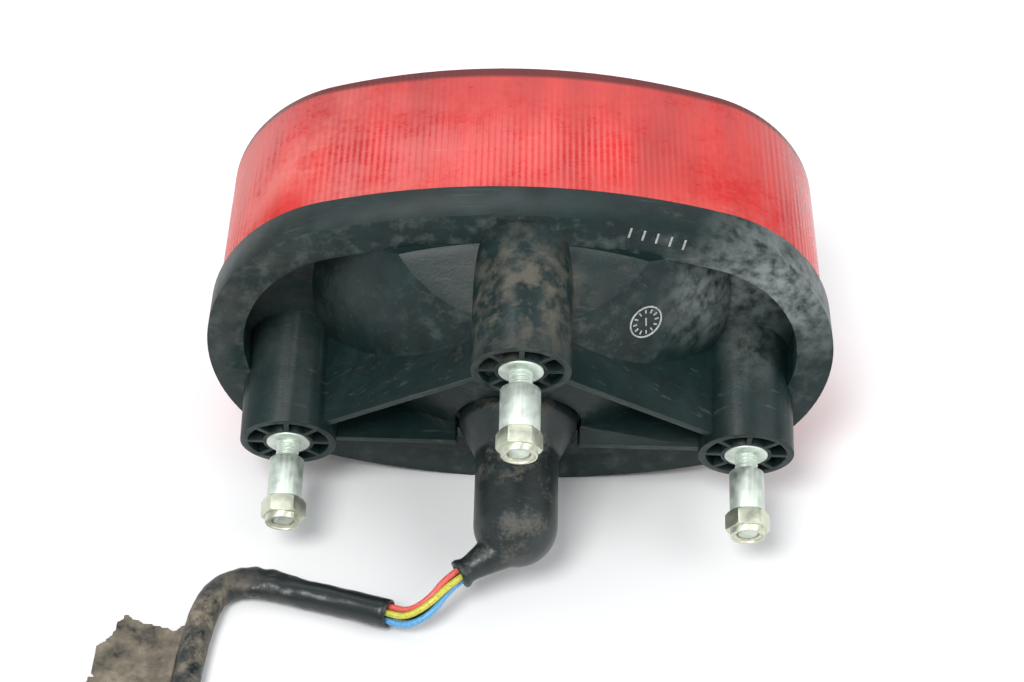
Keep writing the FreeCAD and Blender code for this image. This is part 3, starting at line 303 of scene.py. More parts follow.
def soiled(name, base, dirt, cover=0.45, upward=0.6, scale=60.0, clean=0.45, dull=0.85, grain=1500.0,
           depth=0.00006):
    """Plastic, rubber or vinyl with moulded grain, settled dust and thin scratches."""
    material, graph, shader = new_material(name)
    dust = graph.use(shared("dust"), Scale=scale, Cover=cover, Upward=upward)["Mask"]
    scratches = graph.use(shared("scratch"), Scale=70.0, Cover=0.32)["Mask"]
    tone = graph.noise(scale * 5.0, detail=5.0)
    shade = mottled(graph, tone, base, 0.7, 1.35)
    marked = graph.mix(graph.math("MULTIPLY", scratches, 0.35), shade, dirt)
    graph.feed(shader["Base Color"], graph.mix(graph.math("MULTIPLY", dust, 0.75), marked, dirt))
    graph.feed(shader["Roughness"], graph.between(dust, 0.0, 1.0, clean, dull))
    grit = graph.use(shared("grain"), Scale=grain)["Height"]
    height = graph.math("ADD", grit, graph.math("MULTIPLY", dust, 1.2))
    graph.feed(shader["Normal"], bump(graph, height, depth))
    return material


GRIME = (0.10, 0.09, 0.07)


def plated(name, base, rough=0.28, cover=0.25):
    """Plated metal with blotches, faint turning lines and grime in places."""
    material, graph, shader = new_material(name, Metallic=1.0)
    cloud = graph.noise(350.0, detail=6.0)
    dust = graph.use(shared("dust"), Scale=200.0, Cover=cover, Upward=0.0)["Mask"]
    tone = mottled(graph, cloud, base, 0.72, 1.0)
    graph.feed(shader["Base Color"], graph.mix(graph.math("MULTIPLY", dust, 0.7), tone, GRIME))
    graph.feed(shader["Roughness"], graph.between(cloud, 0.3, 0.75, rough, rough + 0.25))
    lines = graph.noise(1.0, detail=2.0, vector=graph.stretched((300.0, 2500.0, 900.0), (0.35, 0.0, 0.0)))
    graph.feed(shader["Normal"], bump(graph, lines, 0.00003))
    return material


def paint(piece, material):
    """Gives a mesh or a carried-over node one material on all its faces."""
    if not piece.data.materials:
        piece.data.materials.append(material)
    for slot in piece.material_slots:
        slot.link = "OBJECT"
        slot.material = material


# ---------------------------------------------------------------- mesh helpers

def smooth_faces(mesh, smooth=True):
    mesh.polygons.foreach_set("use_smooth", [smooth] * len(mesh.polygons))
    mesh.update()


def new_piece(name, verts, faces, smooth=True):
    mesh = bpy.data.meshes.new(name)
    mesh.from_pydata([tuple(v) for v in verts], [], faces)
    smooth_faces(mesh, smooth)
    piece = bpy.data.objects.new(name, mesh)
    bpy.context.collection.objects.link(piece)
    return piece


def finish_modifiers(piece):
    """Applies a piece's modifiers to its mesh."""
    graph = bpy.context.evaluated_depsgraph_get()
    mesh = bpy.data.meshes.new_from_object(piece.evaluated_get(graph))
    piece.modifiers.clear()
    piece.data = mesh
    return piece


WELD = 1e-6


def copy_of(node, name):
    """New mesh piece in the shape of a CAD node, with its split edges welded."""
    mesh = frame["nodes"][node].data.copy()
    mesh.name = name
    mesh.materials.clear()
    work = bmesh.new()
    work.from_mesh(mesh)
    bmesh.ops.remove_doubles(work, verts=work.verts, dist=WELD)
    work.to_mesh(mesh)
    work.free()
    mesh.update()
    piece = bpy.data.objects.new(name, mesh)
    bpy.context.collection.objects.link(piece)
    return piece


NEARLY_FLAT = math.radians(0.6)
SHARP_EDGE = math.radians(32)


def rounded(node, name, width, body="light"):
    """A CAD node's shape with its sharp edges eased, in its place."""
    piece = copy_of(node, name)
    work = bmesh.new()
    work.from_mesh(piece.data)
    bmesh.ops.dissolve_limit(work, angle_limit=NEARLY_FLAT, verts=work.verts, edges=work.edges)
    work.to_mesh(piece.data)
    work.free()
    smooth_faces(piece.data)
    bevel = piece.modifiers.new("edges", "BEVEL")
    bevel.width = width
    bevel.segments = 2
    bevel.limit_method = "ANGLE"
    bevel.angle_limit = SHARP_EDGE
    bevel.use_clamp_overlap = True
    bevel.harden_normals = True
    finish_modifiers(piece)
    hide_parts(node)
    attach(piece, body)
    return piece


def softened(node, name, voxel, rounds):
    """A CAD node's shape remeshed evenly and smoothed, as moulded rubber is."""
    piece = copy_of(node, name)
    remesh = piece.modifiers.new("even", "REMESH")
    remesh.mode = "VOXEL"
    remesh.voxel_size = voxel
    smooth = piece.modifiers.new("soft", "SMOOTH")
    smooth.factor = 0.5
    smooth.iterations = rounds
    finish_modifiers(piece)
    smooth_faces(piece.data)
    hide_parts(node)
    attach(piece, "light")
    return piece


def frame_along(direction, hint=Vector((0, 0, 1))):
    """Two unit vectors square to a direction and to each other."""
    direction = direction.normalized()
    side = direction.cross(hint).normalized()
    return side, side.cross(direction).normalized()


def skin(count, around):
    """Four-sided faces between rings of vertices that follow one another."""
    faces = []
    for ring in range(count - 1):
        for step in range(around):
            n = (step + 1) % around
            a, b = ring * around, (ring + 1) * around
            faces.append((a + step, a + n, b + n, b + step))
    return faces


BORE_RINGS = 4


def swept(name, path, radius_at, around, bore):
    """Tube along closely spaced points; radius_at(share, angle) gives its outline there.
    Its start is bored to the bore's radius, as deep as the first few points."""
    rings = []
    up = Vector((0, 0, 1))
    count = len(path)
    for index, point in enumerate(path):
        ahead = path[min(index + 1, count - 1)] - path[max(index - 1, 0)]
        side, up = frame_along(ahead, up)
        travel = index / (count - 1)
        ring = []
        for step in range(around):
            angle = 2 * math.pi * step / around
            out = side * math.cos(angle) + up * math.sin(angle)
            ring.append(point + out * radius_at(travel, angle))
        rings.append(ring)
    inner = [
        [centre + (v - centre).normalized() * bore for v in ring]
        for centre, ring in zip(path[:BORE_RINGS], rings)
    ]
    rings = inner[::-1] + rings
    verts = [v for ring in rings for v in ring]
    faces = skin(len(rings), around)
    last = (len(rings) - 1) * around
    faces.append(tuple(range(around))[::-1])
    faces.append(tuple(last + s for s in range(around)))
    return new_piece(name, verts, faces)


# ---------------------------------------------------------------- cords

SLEEVE_ROUTE = [
    (31.2, 55.2, 5.4), (42.5, 50.9, 4.3), (53.0, 48.2, 4.0), (62.5, 45.0, 4.2), (70.8, 44.6, 4.0),
    (76.4, 49.6, 4.0), (78.6, 59.0, 4.0), (79.6, 70.5, 4.0), (80.6, 86.0, 4.0), (80.4, 106.0, 4.0),
    (81.0, 131.0, 4.0),
]
COIL_RADIUS = 43.0
COIL_INNER_END = 18.0
COIL_CENTRE = Vector(SLEEVE_ROUTE[-1]) - Vector((COIL_RADIUS + SLEEVE_RADIUS, 0.0, 0.0))
WINDING_STEP, WINDING_STEPS = 31.25, 12
CLOSING_STEP, CLOSING_STEPS = 33.0, 5
SLEEVE_BORE = 3.0


def coil_point(degrees):
    """Point on the coil: one outer turn, then half a turn that closes in on the plug."""
    if degrees <= 360:
        distance = COIL_RADIUS + SLEEVE_RADIUS - 2 * SLEEVE_RADIUS * degrees / 360
    else:
        start = COIL_RADIUS - SLEEVE_RADIUS
        distance = start - (start - COIL_INNER_END) * (degrees - 360) / 180
    angle = math.radians(degrees)
    return COIL_CENTRE + Vector((math.cos(angle), math.sin(angle), 0)) * distance


def smooth_line(name, points):
    """Open spline that follows points given in millimetres."""
    curve = bpy.data.curves.new(name, "CURVE")
    curve.dimensions = "3D"
    spline = curve.splines.new("NURBS")
    spline.points.add(len(points) - 1)
    for target, point in zip(spline.points, points):
        target.co = (*(Vector(point) * MM), 1.0)
    spline.order_u = 3
    spline.use_endpoint_u = True
    spline.resolution_u = 12
    piece = bpy.data.objects.new(name, curve)
    bpy.context.collection.objects.link(piece)
    return piece


def line_points(name, points):
    """Points along the smooth line, without its bevel."""
    line = smooth_line(name, points)
    graph = bpy.context.evaluated_depsgraph_get()
    mesh = bpy.data.meshes.new_from_object(line.evaluated_get(graph))
    found = [v.co.copy() for v in mesh.vertices]
    bpy.data.objects.remove(line)
    return found


# Route of each wire, from its way in the plug, through the boot's spout, into the sleeve.
WIRES = {
    "red": [
        (0.0, 28.5, 26.0), (0.0, 36.3, 21.2), (5.6, 42.5, 17.2), (17.0, 49.6, 13.6), (20.9, 54.3, 10.7),
        (26.3, 55.7, 6.9), (30.8, 53.8, 6.5), (36.5, 52.2, 5.8),
    ],
    "yellow": [
        (-4.0, 27.1, 22.2), (-2.2, 35.6, 19.1), (4.4, 44.1, 16.7), (15.9, 51.2, 13.1), (21.0, 55.9, 10.2),
        (26.8, 57.5, 6.8), (31.4, 56.1, 6.6), (37.0, 53.9, 5.9),
    ],
    "black": [
        (4.0, 27.1, 22.2), (2.2, 35.6, 19.1), (5.4, 41.7, 15.4), (16.9, 48.9, 11.7), (20.8, 55.8, 8.5),
        (26.6, 56.5, 5.0), (31.0, 54.1, 4.2), (36.6, 52.3, 4.0),
    ],
    "blue": [
        (0.0, 25.8, 18.5), (0.0, 34.9, 17.1), (4.3, 43.3, 14.8), (15.7, 50.5, 11.2), (20.6, 57.4, 7.9),
        (26.9, 58.5, 4.6), (31.3, 56.7, 4.3), (37.1, 54.3, 4.0),
    ],
}


def add_wire(name, tint, diameter):
    wire = smooth_line(name + "_wire", WIRES[name])
    wire.data.bevel_depth = diameter / 2
    wire.data.bevel_resolution = 5
    wire.data.use_fill_caps = True
    dirt = tuple(c * 0.5 + 0.08 for c in tint)
    paint(wire, soiled("Wire " + name, tint, dirt, cover=0.26, upward=0.2, scale=350.0, clean=0.32, dull=0.6))
    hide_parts("wire_" + name)
    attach(wire, "light")


# Shares of the sleeve's way from the wires to the plug.
KINK_AT = 0.105
KINK_REACH = 0.035
WORN_PART = 0.3


def sleeve_outline(travel, angle):
    """Outer radius of the vinyl sleeve: crumpled at its kink, slightly uneven elsewhere."""
    kink = math.exp(-(((travel - KINK_AT) / KINK_REACH) ** 2))
    wider, flatter = 0.22 * kink, 0.16 * kink
    flat = 1 + wider * math.cos(angle) ** 2 - flatter * math.sin(angle) ** 2
    ripple = noise.noise(Vector((math.cos(angle) * 1.3, math.sin(angle) * 1.3, travel * 95)))
    wear = 0.05 if travel < WORN_PART else 0.02
    return SLEEVE_RADIUS * MM * flat * (1 + ripple * (wear + 0.13 * kink))


CAKED_BEND = (78.0, 64.0, 5.0)
CAKED_REACH = 17.0


def muddy_vinyl(settings):
    """Black vinyl with thin dust all along and mud caked round its bend."""
    material, graph, shader = new_material("Muddy vinyl")
    dust = graph.use(shared("dust"), Scale=110.0, Cover=0.16, Upward=0.3)["Mask"]
    cake = graph.noise(160.0, detail=8.0, roughness=0.7)
    bend = graph.near(CAKED_BEND, CAKED_REACH, 0.45)
    caked = graph.math("MULTIPLY", graph.between(cake, 0.44, 0.58), bend)
    mud = graph.math("MAXIMUM", graph.math("MULTIPLY", dust, 0.5), caked)
    tone = graph.noise(700.0, detail=4.0)
    soil = mottled(graph, tone, settings.mud, 0.6, 1.0)
    graph.feed(shader["Base Color"], graph.mix(mud, tuple(settings.vinyl), soil))
    graph.feed(shader["Roughness"], graph.between(mud, 0.0, 1.0, 0.30, 0.95))
    height = graph.math("ADD", mud, graph.math("MULTIPLY", cake, 0.8))
    graph.feed(shader["Normal"], bump(graph, height, 0.0003))
    return material


def add_sleeve(settings):
    wound = WINDING_STEP * WINDING_STEPS
    winding = [coil_point(WINDING_STEP * (step + 1)) for step in range(WINDING_STEPS)]
    tail = [coil_point(wound + CLOSING_STEP * (step + 1)) for step in range(CLOSING_STEPS)]
    path = line_points("harness_line", [*SLEEVE_ROUTE, *winding, *tail])
    sleeve = swept("vinyl_sleeve", path, sleeve_outline, around=24, bore=SLEEVE_BORE * MM)
    paint(sleeve, muddy_vinyl(settings))
    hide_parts("harness_sleeve", "harness_coil", "harness_tail")
    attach(sleeve, "light")


TAPE_EDGE = [
    (80.2, 60.5), (89.0, 58.8), (98.5, 54.5), (100.5, 62.0), (104.0, 66.0), (103.5, 75.0), (108.5, 84.0),
    (104.0, 93.0), (95.0, 95.0), (81.8, 89.0),
]
TAPE_CORNER = (78.0, 54.0)
TAPE_CELL = 0.7
TAPE_CELLS = (46, 62)
TAPE_THICKNESS = 0.35
TAPE_LEVEL = 1.7
TAPE_LOWEST = 0.7
HEM_START = 80.0
HEM_WIDTH = 8.0
HEM_CLIMB = 2.6
TEAR_DEPTH = 1.2


def inside_edge(x, y, edge):
    """Whether a point lies inside a closed outline, by counting the sides it is left of."""
    hit = False
    for (x1, y1), (x2, y2) in zip(edge, edge[1:] + edge[:1]):
        if (y1 > y) != (y2 > y) and x < (x2 - x1) * (y - y1) / (y2 - y1) + x1:
            hit = not hit
    return hit


def in_tape(x, y):
    """Whether a point lies inside the tape's edge, which is torn unevenly."""
    tear = Vector((x * 0.5, y * 0.5, 0.0))
    aside = TEAR_DEPTH * noise.noise(tear)
    ahead = TEAR_DEPTH * noise.noise(tear + Vector((9, 4, 2)))
    return inside_edge(x + aside, y + ahead, TAPE_EDGE)


def tape_height(x, y):
    """Height of the tape: it climbs the sleeve at its hem and is folded and creased beyond."""
    fold = noise.noise(Vector((x * 0.09, y * 0.16, 3.0)))
    crease = noise.noise(Vector((x * 0.35, y * 0.30, 7.0)))
    fine = noise.noise(Vector((x * 1.1, y * 1.1, 1.0)))
    loose = min(1.0, max(0.0, (x - HEM_START) / HEM_WIDTH))
    z = TAPE_LEVEL + loose * (1.3 * fold + 0.7 * crease) + 0.18 * fine + HEM_CLIMB * (1 - loose)
    return max(z, TAPE_LOWEST)


def tape_place(i, j):
    return TAPE_CORNER[0] + i * TAPE_CELL, TAPE_CORNER[1] + j * TAPE_CELL


def muddy_tape(settings):
    """Dark cloth tape with pale blotches of mud and fine specks of a shade between."""
    mud = tuple(settings.mud)
    material, graph, shader = new_material("Muddy tape")
    weave = graph.noise(520.0, detail=5.0)
    blotch = graph.noise(140.0, detail=6.0)
    tone = graph.mix(graph.between(blotch, 0.35, 0.62), scaled(mud, 0.10), scaled(mud, 0.9))
    woven = graph.mix(graph.between(weave, 0.45, 0.7), tone, scaled(mud, 0.5))
    graph.feed(shader["Base Color"], woven)
    graph.feed(shader["Roughness"], graph.between(blotch, 0.3, 0.7, 0.7, 0.98))
    graph.feed(shader["Normal"], bump(graph, weave, 0.0004))
    return material


def add_tape(settings):
    """Torn, crumpled end of cloth tape, caked with mud."""
    verts, faces, index = [], [], {}

    def corner(i, j):
        if (i, j) not in index:
            x, y = tape_place(i, j)
            index[(i, j)] = len(verts)
            verts.append((x * MM, y * MM, tape_height(x, y) * MM))
        return index[(i, j)]

    for i in range(TAPE_CELLS[0]):
        for j in range(TAPE_CELLS[1]):
            if in_tape(*tape_place(i + 0.5, j + 0.5)):
                faces.append((corner(i, j), corner(i + 1, j), corner(i + 1, j + 1), corner(i, j + 1)))
    tape = new_piece("torn_tape", verts, faces)
    thick = tape.modifiers.new("thick", "SOLIDIFY")
    thick.thickness = TAPE_THICKNESS * MM
    soften = tape.modifiers.new("soften", "SUBSURF")
    soften.levels = 1
    soften.render_levels = 1
    finish_modifiers(tape)
    smooth_faces(tape.data)
    paint(tape, muddy_tape(settings))
    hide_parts("tape_flap")
    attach(tape, "light")


class TAILLIGHT_OT_harness(bpy.types.Operator):
    """Adds the four wires, the vinyl sleeve with its coil, the torn tape and the far plug's finish"""

    bl_idname = "taillight.harness"
    bl_label = "Harness"

    def execute(self, context):
        settings = context.scene.light_harness
        for name in WIRES:
            add_wire(name, tuple(getattr(settings, name)), settings.wire)
        add_sleeve(settings)
        add_tape(settings)
        nodes = frame["nodes"]
        nylon, dirt = (0.62, 0.60, 0.54), (0.3, 0.25, 0.2)
        brass = tuple(context.scene.light_metal.brass)
        paint(nodes["harness_plug"], soiled("Harness plug nylon", nylon, dirt, cover=0.4, scale=150.0))
        paint(nodes["harness_plug_contacts"], plated("Harness plug brass", brass))
        return {"FINISHED"}


# ---------------------------------------------------------------- stage

ROOM_TINT = (0.95, 0.97, 1.0, 1.0)
ROOM_STRENGTH = 0.62
FLOOR_CORNERS = [(-4, -6, 0), (4, -6, 0), (4, 3, 0), (-4, 3, 0)]


def add_floor(tint):
    floor = new_piece("floor", FLOOR_CORNERS, [(0, 1, 2, 3)])
    material, graph, shader = new_material("Table", Roughness=0.55)
    cloud = graph.noise(3.0, detail=2.0)
    graph.feed(shader["Base Color"], graph.mix(cloud, scaled(tint, 0.985), tuple(tint)))
    paint(floor, material)


def add_lamp(name, where, aim, size, power):
    data = bpy.data.lights.new(name, "AREA")
    data.shape = "DISK"
    data.size = size
    data.energy = power
    lamp = bpy.data.objects.new(name, data)
    bpy.context.collection.objects.link(lamp)
    lamp.location = where
    lamp.rotation_euler = (Vector(aim) - Vector(where)).to_track_quat("-Z", "Y").to_euler()


def add_camera(settings):
    """Looks down at the back of the light, from its distance along the line of sight."""
    turn, tilt, roll = settings.heading, settings.elevation, settings.roll
    across = Vector((-math.cos(turn), math.sin(turn), 0))
    away = Vector((-math.sin(turn) * math.cos(tilt), -math.cos(turn) * math.cos(tilt), -math.sin(tilt)))
    down = away.cross(across)
    right = across * math.cos(roll) - down * math.sin(roll)
    below = across * math.sin(roll) + down * math.cos(roll)
    low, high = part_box("housing")
    middle = Vector((0, 0, (low[2] + high[2]) / 2))
    where = middle - right * settings.aside - below * settings.below - away * settings.distance
    data = bpy.data.cameras.new("camera")
    data.lens = settings.focal
    data.sensor_width = 36.0
    data.clip_start = 0.02
    camera = bpy.data.objects.new("camera", data)
    bpy.context.collection.objects.link(camera)
    turned = Matrix((right, -below, -away)).transposed().to_4x4()
    camera.matrix_world = Matrix.Translation(where) @ turned
    bpy.context.scene.camera = camera


class TAILLIGHT_OT_stage(bpy.types.Operator):
    """Adds the camera, the table, the room light and the soft lamps"""

    bl_idname = "taillight.stage"
    bl_label = "Stage"

    def execute(self, context):
        settings = context.scene.light_stage
        add_camera(settings)
        add_floor(settings.floor)
        world = bpy.data.worlds.new("room")
        world.use_nodes = True
        background = world.node_tree.nodes["Background"].inputs
        background["Color"].default_value = ROOM_TINT
        background["Strength"].default_value = ROOM_STRENGTH
        context.scene.world = world
        add_lamp("key", (0.35, 0.75, 1.15), aim=(0, 0, 0.04), size=0.55, power=13.0)
        add_lamp("fill", (-0.9, 0.5, 0.8), aim=(0, 0, 0.04), size=0.9, power=6.0)
        add_lamp("back", (0.2, -0.9, 1.1), aim=(0, 0, 0.05), size=0.8, power=5.0)
        context.scene.view_settings.view_transform = "Standard"
        return {"FINISHED"}


# ---------------------------------------------------------------- lens

# Places and sizes on the lens in millimetres. Its front faces -Y and its foot meets the housing.
DUSTY_END = (72.0, -30.0, 62.0)
DUSTY_REACH = 34.0
CLEAN_SPOT = (60.7, -14.0, 78.0)
CLEAN_REACH = 9.0
FOOT_FRONT, FOOT_BACK = -20.0, -9.0
# Band by the front edge whose side faces get painted shade.
EDGE_BACK, EDGE_FRONT = -58.8, -60.2
FLUTE_HEIGHT = 0.045


def lens_plastic(settings):
    """Red plastic with fine flutes, more dust at one end and at its foot, and painted shade on the side faces
    along its front edge.
    """
    material, graph, shader = new_material(
        "Red lens", IOR=1.42, Transmission_Weight=0.12, Coat_Weight=0.04, Coat_Roughness=0.2
    )
    spot, normal = graph.split(graph.place()), graph.normal()
    dust = graph.use(shared("dust"), Scale=45.0, Cover=0.44, Upward=0.5)["Mask"]
    speck = graph.noise(900.0, detail=6.0, roughness=0.8)
    streak = graph.noise(1.0, detail=5.0, vector=graph.stretched((90.0, 18.0, 60.0)))
    film = graph.math("MULTIPLY", graph.between(streak, 0.35, 0.80), graph.between(speck, 0.35, 0.75))
    haze = graph.math("MULTIPLY", graph.math("ADD", dust, film), settings.haze_amount)
    dusty_end = graph.near(DUSTY_END, DUSTY_REACH, 0.8)
    haze = graph.math("MULTIPLY", haze, graph.between(dusty_end, 0.0, 1.0, 0.9, 3.0))
    foot = graph.between(spot["Y"], FOOT_FRONT * MM, FOOT_BACK * MM, 1.0, 1.7)
    haze = graph.math("MULTIPLY", haze, foot)
    clean = graph.near(CLEAN_SPOT, CLEAN_REACH, 0.6)
    haze = graph.math("MULTIPLY", haze, graph.between(clean, 0.0, 1.0, 1.0, 0.15))
    red = graph.mix(graph.between(streak, 0.25, 0.7), tuple(settings.deep), tuple(settings.red))
    scratches = graph.use(shared("scratch"), Scale=30.0, Cover=0.30)["Mask"]
    marked = graph.mix(graph.math("MULTIPLY", scratches, 0.4), red, tuple(settings.haze))
    # Painted shade: side faces next to the front edge are darkened to a very deep red, standing in for the
    # shade at the lens's far rim.
    on_sides = graph.between(graph.math("ABSOLUTE", normal["Y"]), 0.92, 0.6)
    at_front = graph.between(spot["Y"], EDGE_BACK * MM, EDGE_FRONT * MM)
    front_edge_shade = graph.math("MULTIPLY", at_front, on_sides)
    hazed = graph.mix(haze, marked, tuple(settings.haze))
    shaded = graph.mix(graph.math("MULTIPLY", front_edge_shade, 0.85), hazed, scaled(settings.deep, 0.15))
    graph.feed(shader["Base Color"], shaded)
    graph.feed(shader["Roughness"], graph.between(haze, 0.0, 0.8, 0.22, 0.75))
    on_top = graph.between(graph.math("ABSOLUTE", normal["Z"]), 0.62, 0.70)
    elsewhere = graph.math("SUBTRACT", 1.0, on_top)
    wave = 2 * math.pi / settings.flute
    flute_x = graph.math("SINE", graph.math("MULTIPLY", spot["X"], wave))
    flute_z = graph.math("SINE", graph.math("MULTIPLY", spot["Z"], wave))
    across = graph.math("MULTIPLY", flute_x, on_top)
    upward = graph.math("MULTIPLY", flute_z, elsewhere)
    flute = graph.math("ADD", across, upward)
    height = graph.math("ADD", flute, graph.math("MULTIPLY", speck, 0.6))
    graph.feed(shader["Normal"], bump(graph, height, FLUTE_HEIGHT * MM))
    return material


class TAILLIGHT_OT_lens(bpy.types.Operator):
    """Eases the lens's edges and gives it its red, fluted and dusty finish, with its seal and screws"""

    bl_idname = "taillight.lens"
    bl_label = "Lens"

    def execute(self, context):
        metal = context.scene.light_metal
        lens = rounded("lens", "lens_shell", width=0.0009)
        paint(lens, lens_plastic(context.scene.light_lens))
        nodes = frame["nodes"]
        paint(nodes["lens_gasket"], soiled("Lens seal", (0.02, 0.02, 0.02), (0.2, 0.17, 0.13), cover=0.3))
        paint(nodes["lens_screws"], plated("Screw zinc", tuple(metal.zinc)))
        return {"FINISHED"}


# ---------------------------------------------------------------- housing

def tube_ring(name, centre, normal, radius, thickness, around=48, section=8):
    """Round ring of round wire, square to its normal."""
    side, up = frame_along(normal)
    verts, faces = [], []
    for i in range(around):
        a = 2 * math.pi * i / around
        out = side * math.cos(a) + up * math.sin(a)
        for j in range(section):
            b = 2 * math.pi * j / section
            verts.append(centre + out * (radius + thickness * math.cos(b)) + normal * thickness * math.sin(b))
    for i in range(around):
        for j in range(section):
            n, m = (i + 1) % around, (j + 1) % section
            faces.append((i * section + j, n * section + j, n * section + m, i * section + m))
    return new_piece(name, verts, faces)


def bar(verts, faces, centre, along, across, out, size):
    """Adds one low bar with a chamfered top to a mesh in the making."""
    long, wide, high = (side * MM for side in size)
    start = len(verts)
    for lift, shrink in ((-high, 1.0), (high * 0.5, 1.0), (high, 0.7)):
        end = long / 2 - (1 - shrink) * wide
        for i, j in ((-1, -1), (1, -1), (1, 1), (-1, 1)):
            verts.append(centre + along * i * end + across * j * wide / 2 * shrink + out * lift)
    for level in (0, 4):
        for i in range(4):
            n = (i + 1) % 4
            faces.append((start + level + i, start + level + n, start + level + 4 + n, start + level + 4 + i))
    faces.append((start + 8, start + 9, start + 10, start + 11))
    faces.append((start + 3, start + 2, start + 1, start))


# The mould marks in millimetres. A bar's size is its length, its width and its height.
DIAL_CENTRE = (-31.1, 7.1, 63.5)
BOWL_CENTRE = (0.0, -51.5, 54.5)
DIAL_RADIUS, DIAL_WIRE = 4.4, 0.26
TICKS, TICK_RADIUS = 12, 3.1
TICK_SIZE, POINTER_SIZE = (1.1, 0.4, 0.18), (2.4, 0.45, 0.2)
ROW_BARS, ROW_PITCH = 5, 3.4
ROW_START_X, ROW_START_Z = -26.0, 86.4
ROW_FALL, ROW_CURVE = 0.72, 0.03
ROW_SIZE = (3.2, 0.55, 0.15)
ROW_LEAN = Vector((-0.2, 0, 1)).normalized()


def add_marks():
    """Plain mould marks: a date dial on the bowl and a row of short bars on the flange."""
    chalk = soiled("Chalky marks", (0.34, 0.35, 0.34), (0.16, 0.14, 0.11), cover=0.3, scale=200.0)
    centre = Vector(DIAL_CENTRE) * MM
    out = (centre - Vector(BOWL_CENTRE) * MM).normalized()
    ring = tube_ring("date_dial", centre, out, DIAL_RADIUS * MM, DIAL_WIRE * MM)
    side, up = frame_along(out)
    verts, faces = [], []
    for index in range(TICKS):
        angle = 2 * math.pi * index / TICKS
        along = side * math.cos(angle) + up * math.sin(angle)
        bar(verts, faces, centre + along * TICK_RADIUS * MM, along, out.cross(along), out, TICK_SIZE)
    bar(verts, faces, centre, up, side, out, POINTER_SIZE)
    ticks = new_piece("date_dial_ticks", verts, faces, smooth=False)
    verts, faces = [], []
    for index in range(ROW_BARS):
        x = ROW_START_X - index * ROW_PITCH
        z = ROW_START_Z - index * ROW_FALL - ROW_CURVE * index * index
        spot = Vector((x, 0.0, z)) * MM
        bar(verts, faces, spot, ROW_LEAN, Vector((1, 0, 0)), Vector((0, 1, 0)), ROW_SIZE)
    row = new_piece("flange_bars", verts, faces, smooth=False)
    for piece in (ring, ticks, row):
        paint(piece, chalk)
        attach(piece, "light")


# Places on the housing in millimetres, each with the reach of its dirt or scuffs. The chalky band is
# masked by how far back it lies.
SCUFFED_CORNER, SCUFFED_REACH = (-60.0, 0.0, 66.0), 17.0
CENTRE_BOSS, BOSS_REACH = (0.0, 16.0, 78.0), 15.0
BROWN_END, BROWN_REACH = (68.0, 0.0, 62.0), 20.0
BAND_FRONT, BAND_BACK = -0.6, -0.1


def housing_plastic(settings):
    """Black plastic with a chalky band and corner, and brown dust on its centre boss and one end."""
    material, graph, shader = new_material("Housing plastic", Specular_IOR_Level=0.28)
    black, dirt, chalk = tuple(settings.black), tuple(settings.dust), tuple(settings.chalk)
    dust = graph.use(shared("dust"), Scale=55.0, Cover=0.24, Upward=0.30)["Mask"]
    fine = graph.noise(2600.0, detail=3.0, roughness=0.8)
    scratches = graph.use(shared("scratch"), Scale=55.0, Cover=0.36)["Mask"]
    spot = graph.split(graph.place())
    normal = graph.normal()
    facing_back = graph.between(normal["Y"], 0.8, 0.95)
    at_back = graph.between(spot["Y"], BAND_FRONT * MM, BAND_BACK * MM)
    rim = graph.patchy(graph.math("MULTIPLY", at_back, facing_back), 210.0, 0.50, 0.68, detail=7.0)
    corner = graph.patchy(graph.near(SCUFFED_CORNER, SCUFFED_REACH, 0.6), 260.0, 0.36, 0.6)
    boss = graph.patchy(graph.near(CENTRE_BOSS, BOSS_REACH, 0.5), 190.0, 0.44, 0.62)
    end = graph.patchy(graph.near(BROWN_END, BROWN_REACH, 0.6), 170.0, 0.42, 0.62)
    brown = graph.math("MAXIMUM", graph.math("MULTIPLY", dust, 0.35), graph.math("MULTIPLY", boss, 0.55))
    brown = graph.math("MAXIMUM", brown, graph.math("MULTIPLY", end, 0.16))
    base = mottled(graph, graph.noise(130.0, detail=5.0), black, 0.75, 1.7)
    base = graph.mix(graph.math("MULTIPLY", scratches, 0.18), base, chalk)
    base = graph.mix(graph.math("MULTIPLY", rim, 0.30), base, chalk)
    base = graph.mix(graph.math("MULTIPLY", corner, 0.75), base, scaled(chalk, 1.5))
    base = graph.mix(brown, base, dirt)
    graph.feed(shader["Base Color"], base)
    graph.feed(shader["Roughness"], graph.between(graph.math("MAXIMUM", brown, rim), 0.0, 0.8, 0.40, 0.85))
    grit = graph.use(shared("grain"), Scale=1500.0, Broad=110.0)["Height"]
    height = graph.math("ADD", grit, graph.math("MULTIPLY", fine, 0.4))
    graph.feed(shader["Normal"], bump(graph, height, 0.00007))
    return material


class TAILLIGHT_OT_housing(bpy.types.Operator):
    """Eases the housing's moulded edges, gives it its dusty black finish and adds its mould marks"""

    bl_idname = "taillight.housing"
    bl_label = "Housing"

    def execute(self, context):
        settings = context.scene.light_housing
        housing = rounded("housing", "housing_shell", settings.edge)
        paint(housing, housing_plastic(settings))
        add_marks()
        return {"FINISHED"}


# ---------------------------------------------------------------- boot

class TAILLIGHT_OT_boot(bpy.types.Operator):
    """Adds the soft rubber boot over the connector"""

    bl_idname = "taillight.boot"
    bl_label = "Rubber boot"

    def execute(self, context):
        boot = softened("boot", "rubber_boot", voxel=0.0005, rounds=6)
        black, dirt = (0.010, 0.017, 0.016), tuple(context.scene.light_housing.dust)
        rubber = soiled(
            "Boot rubber", black, dirt, cover=0.36, upward=0.25, scale=75.0, clean=0.36, dull=0.8,
            grain=1100.0, depth=0.0001,
        )
        paint(boot, rubber)
        return {"FINISHED"}


# ---------------------------------------------------------------- fastenings

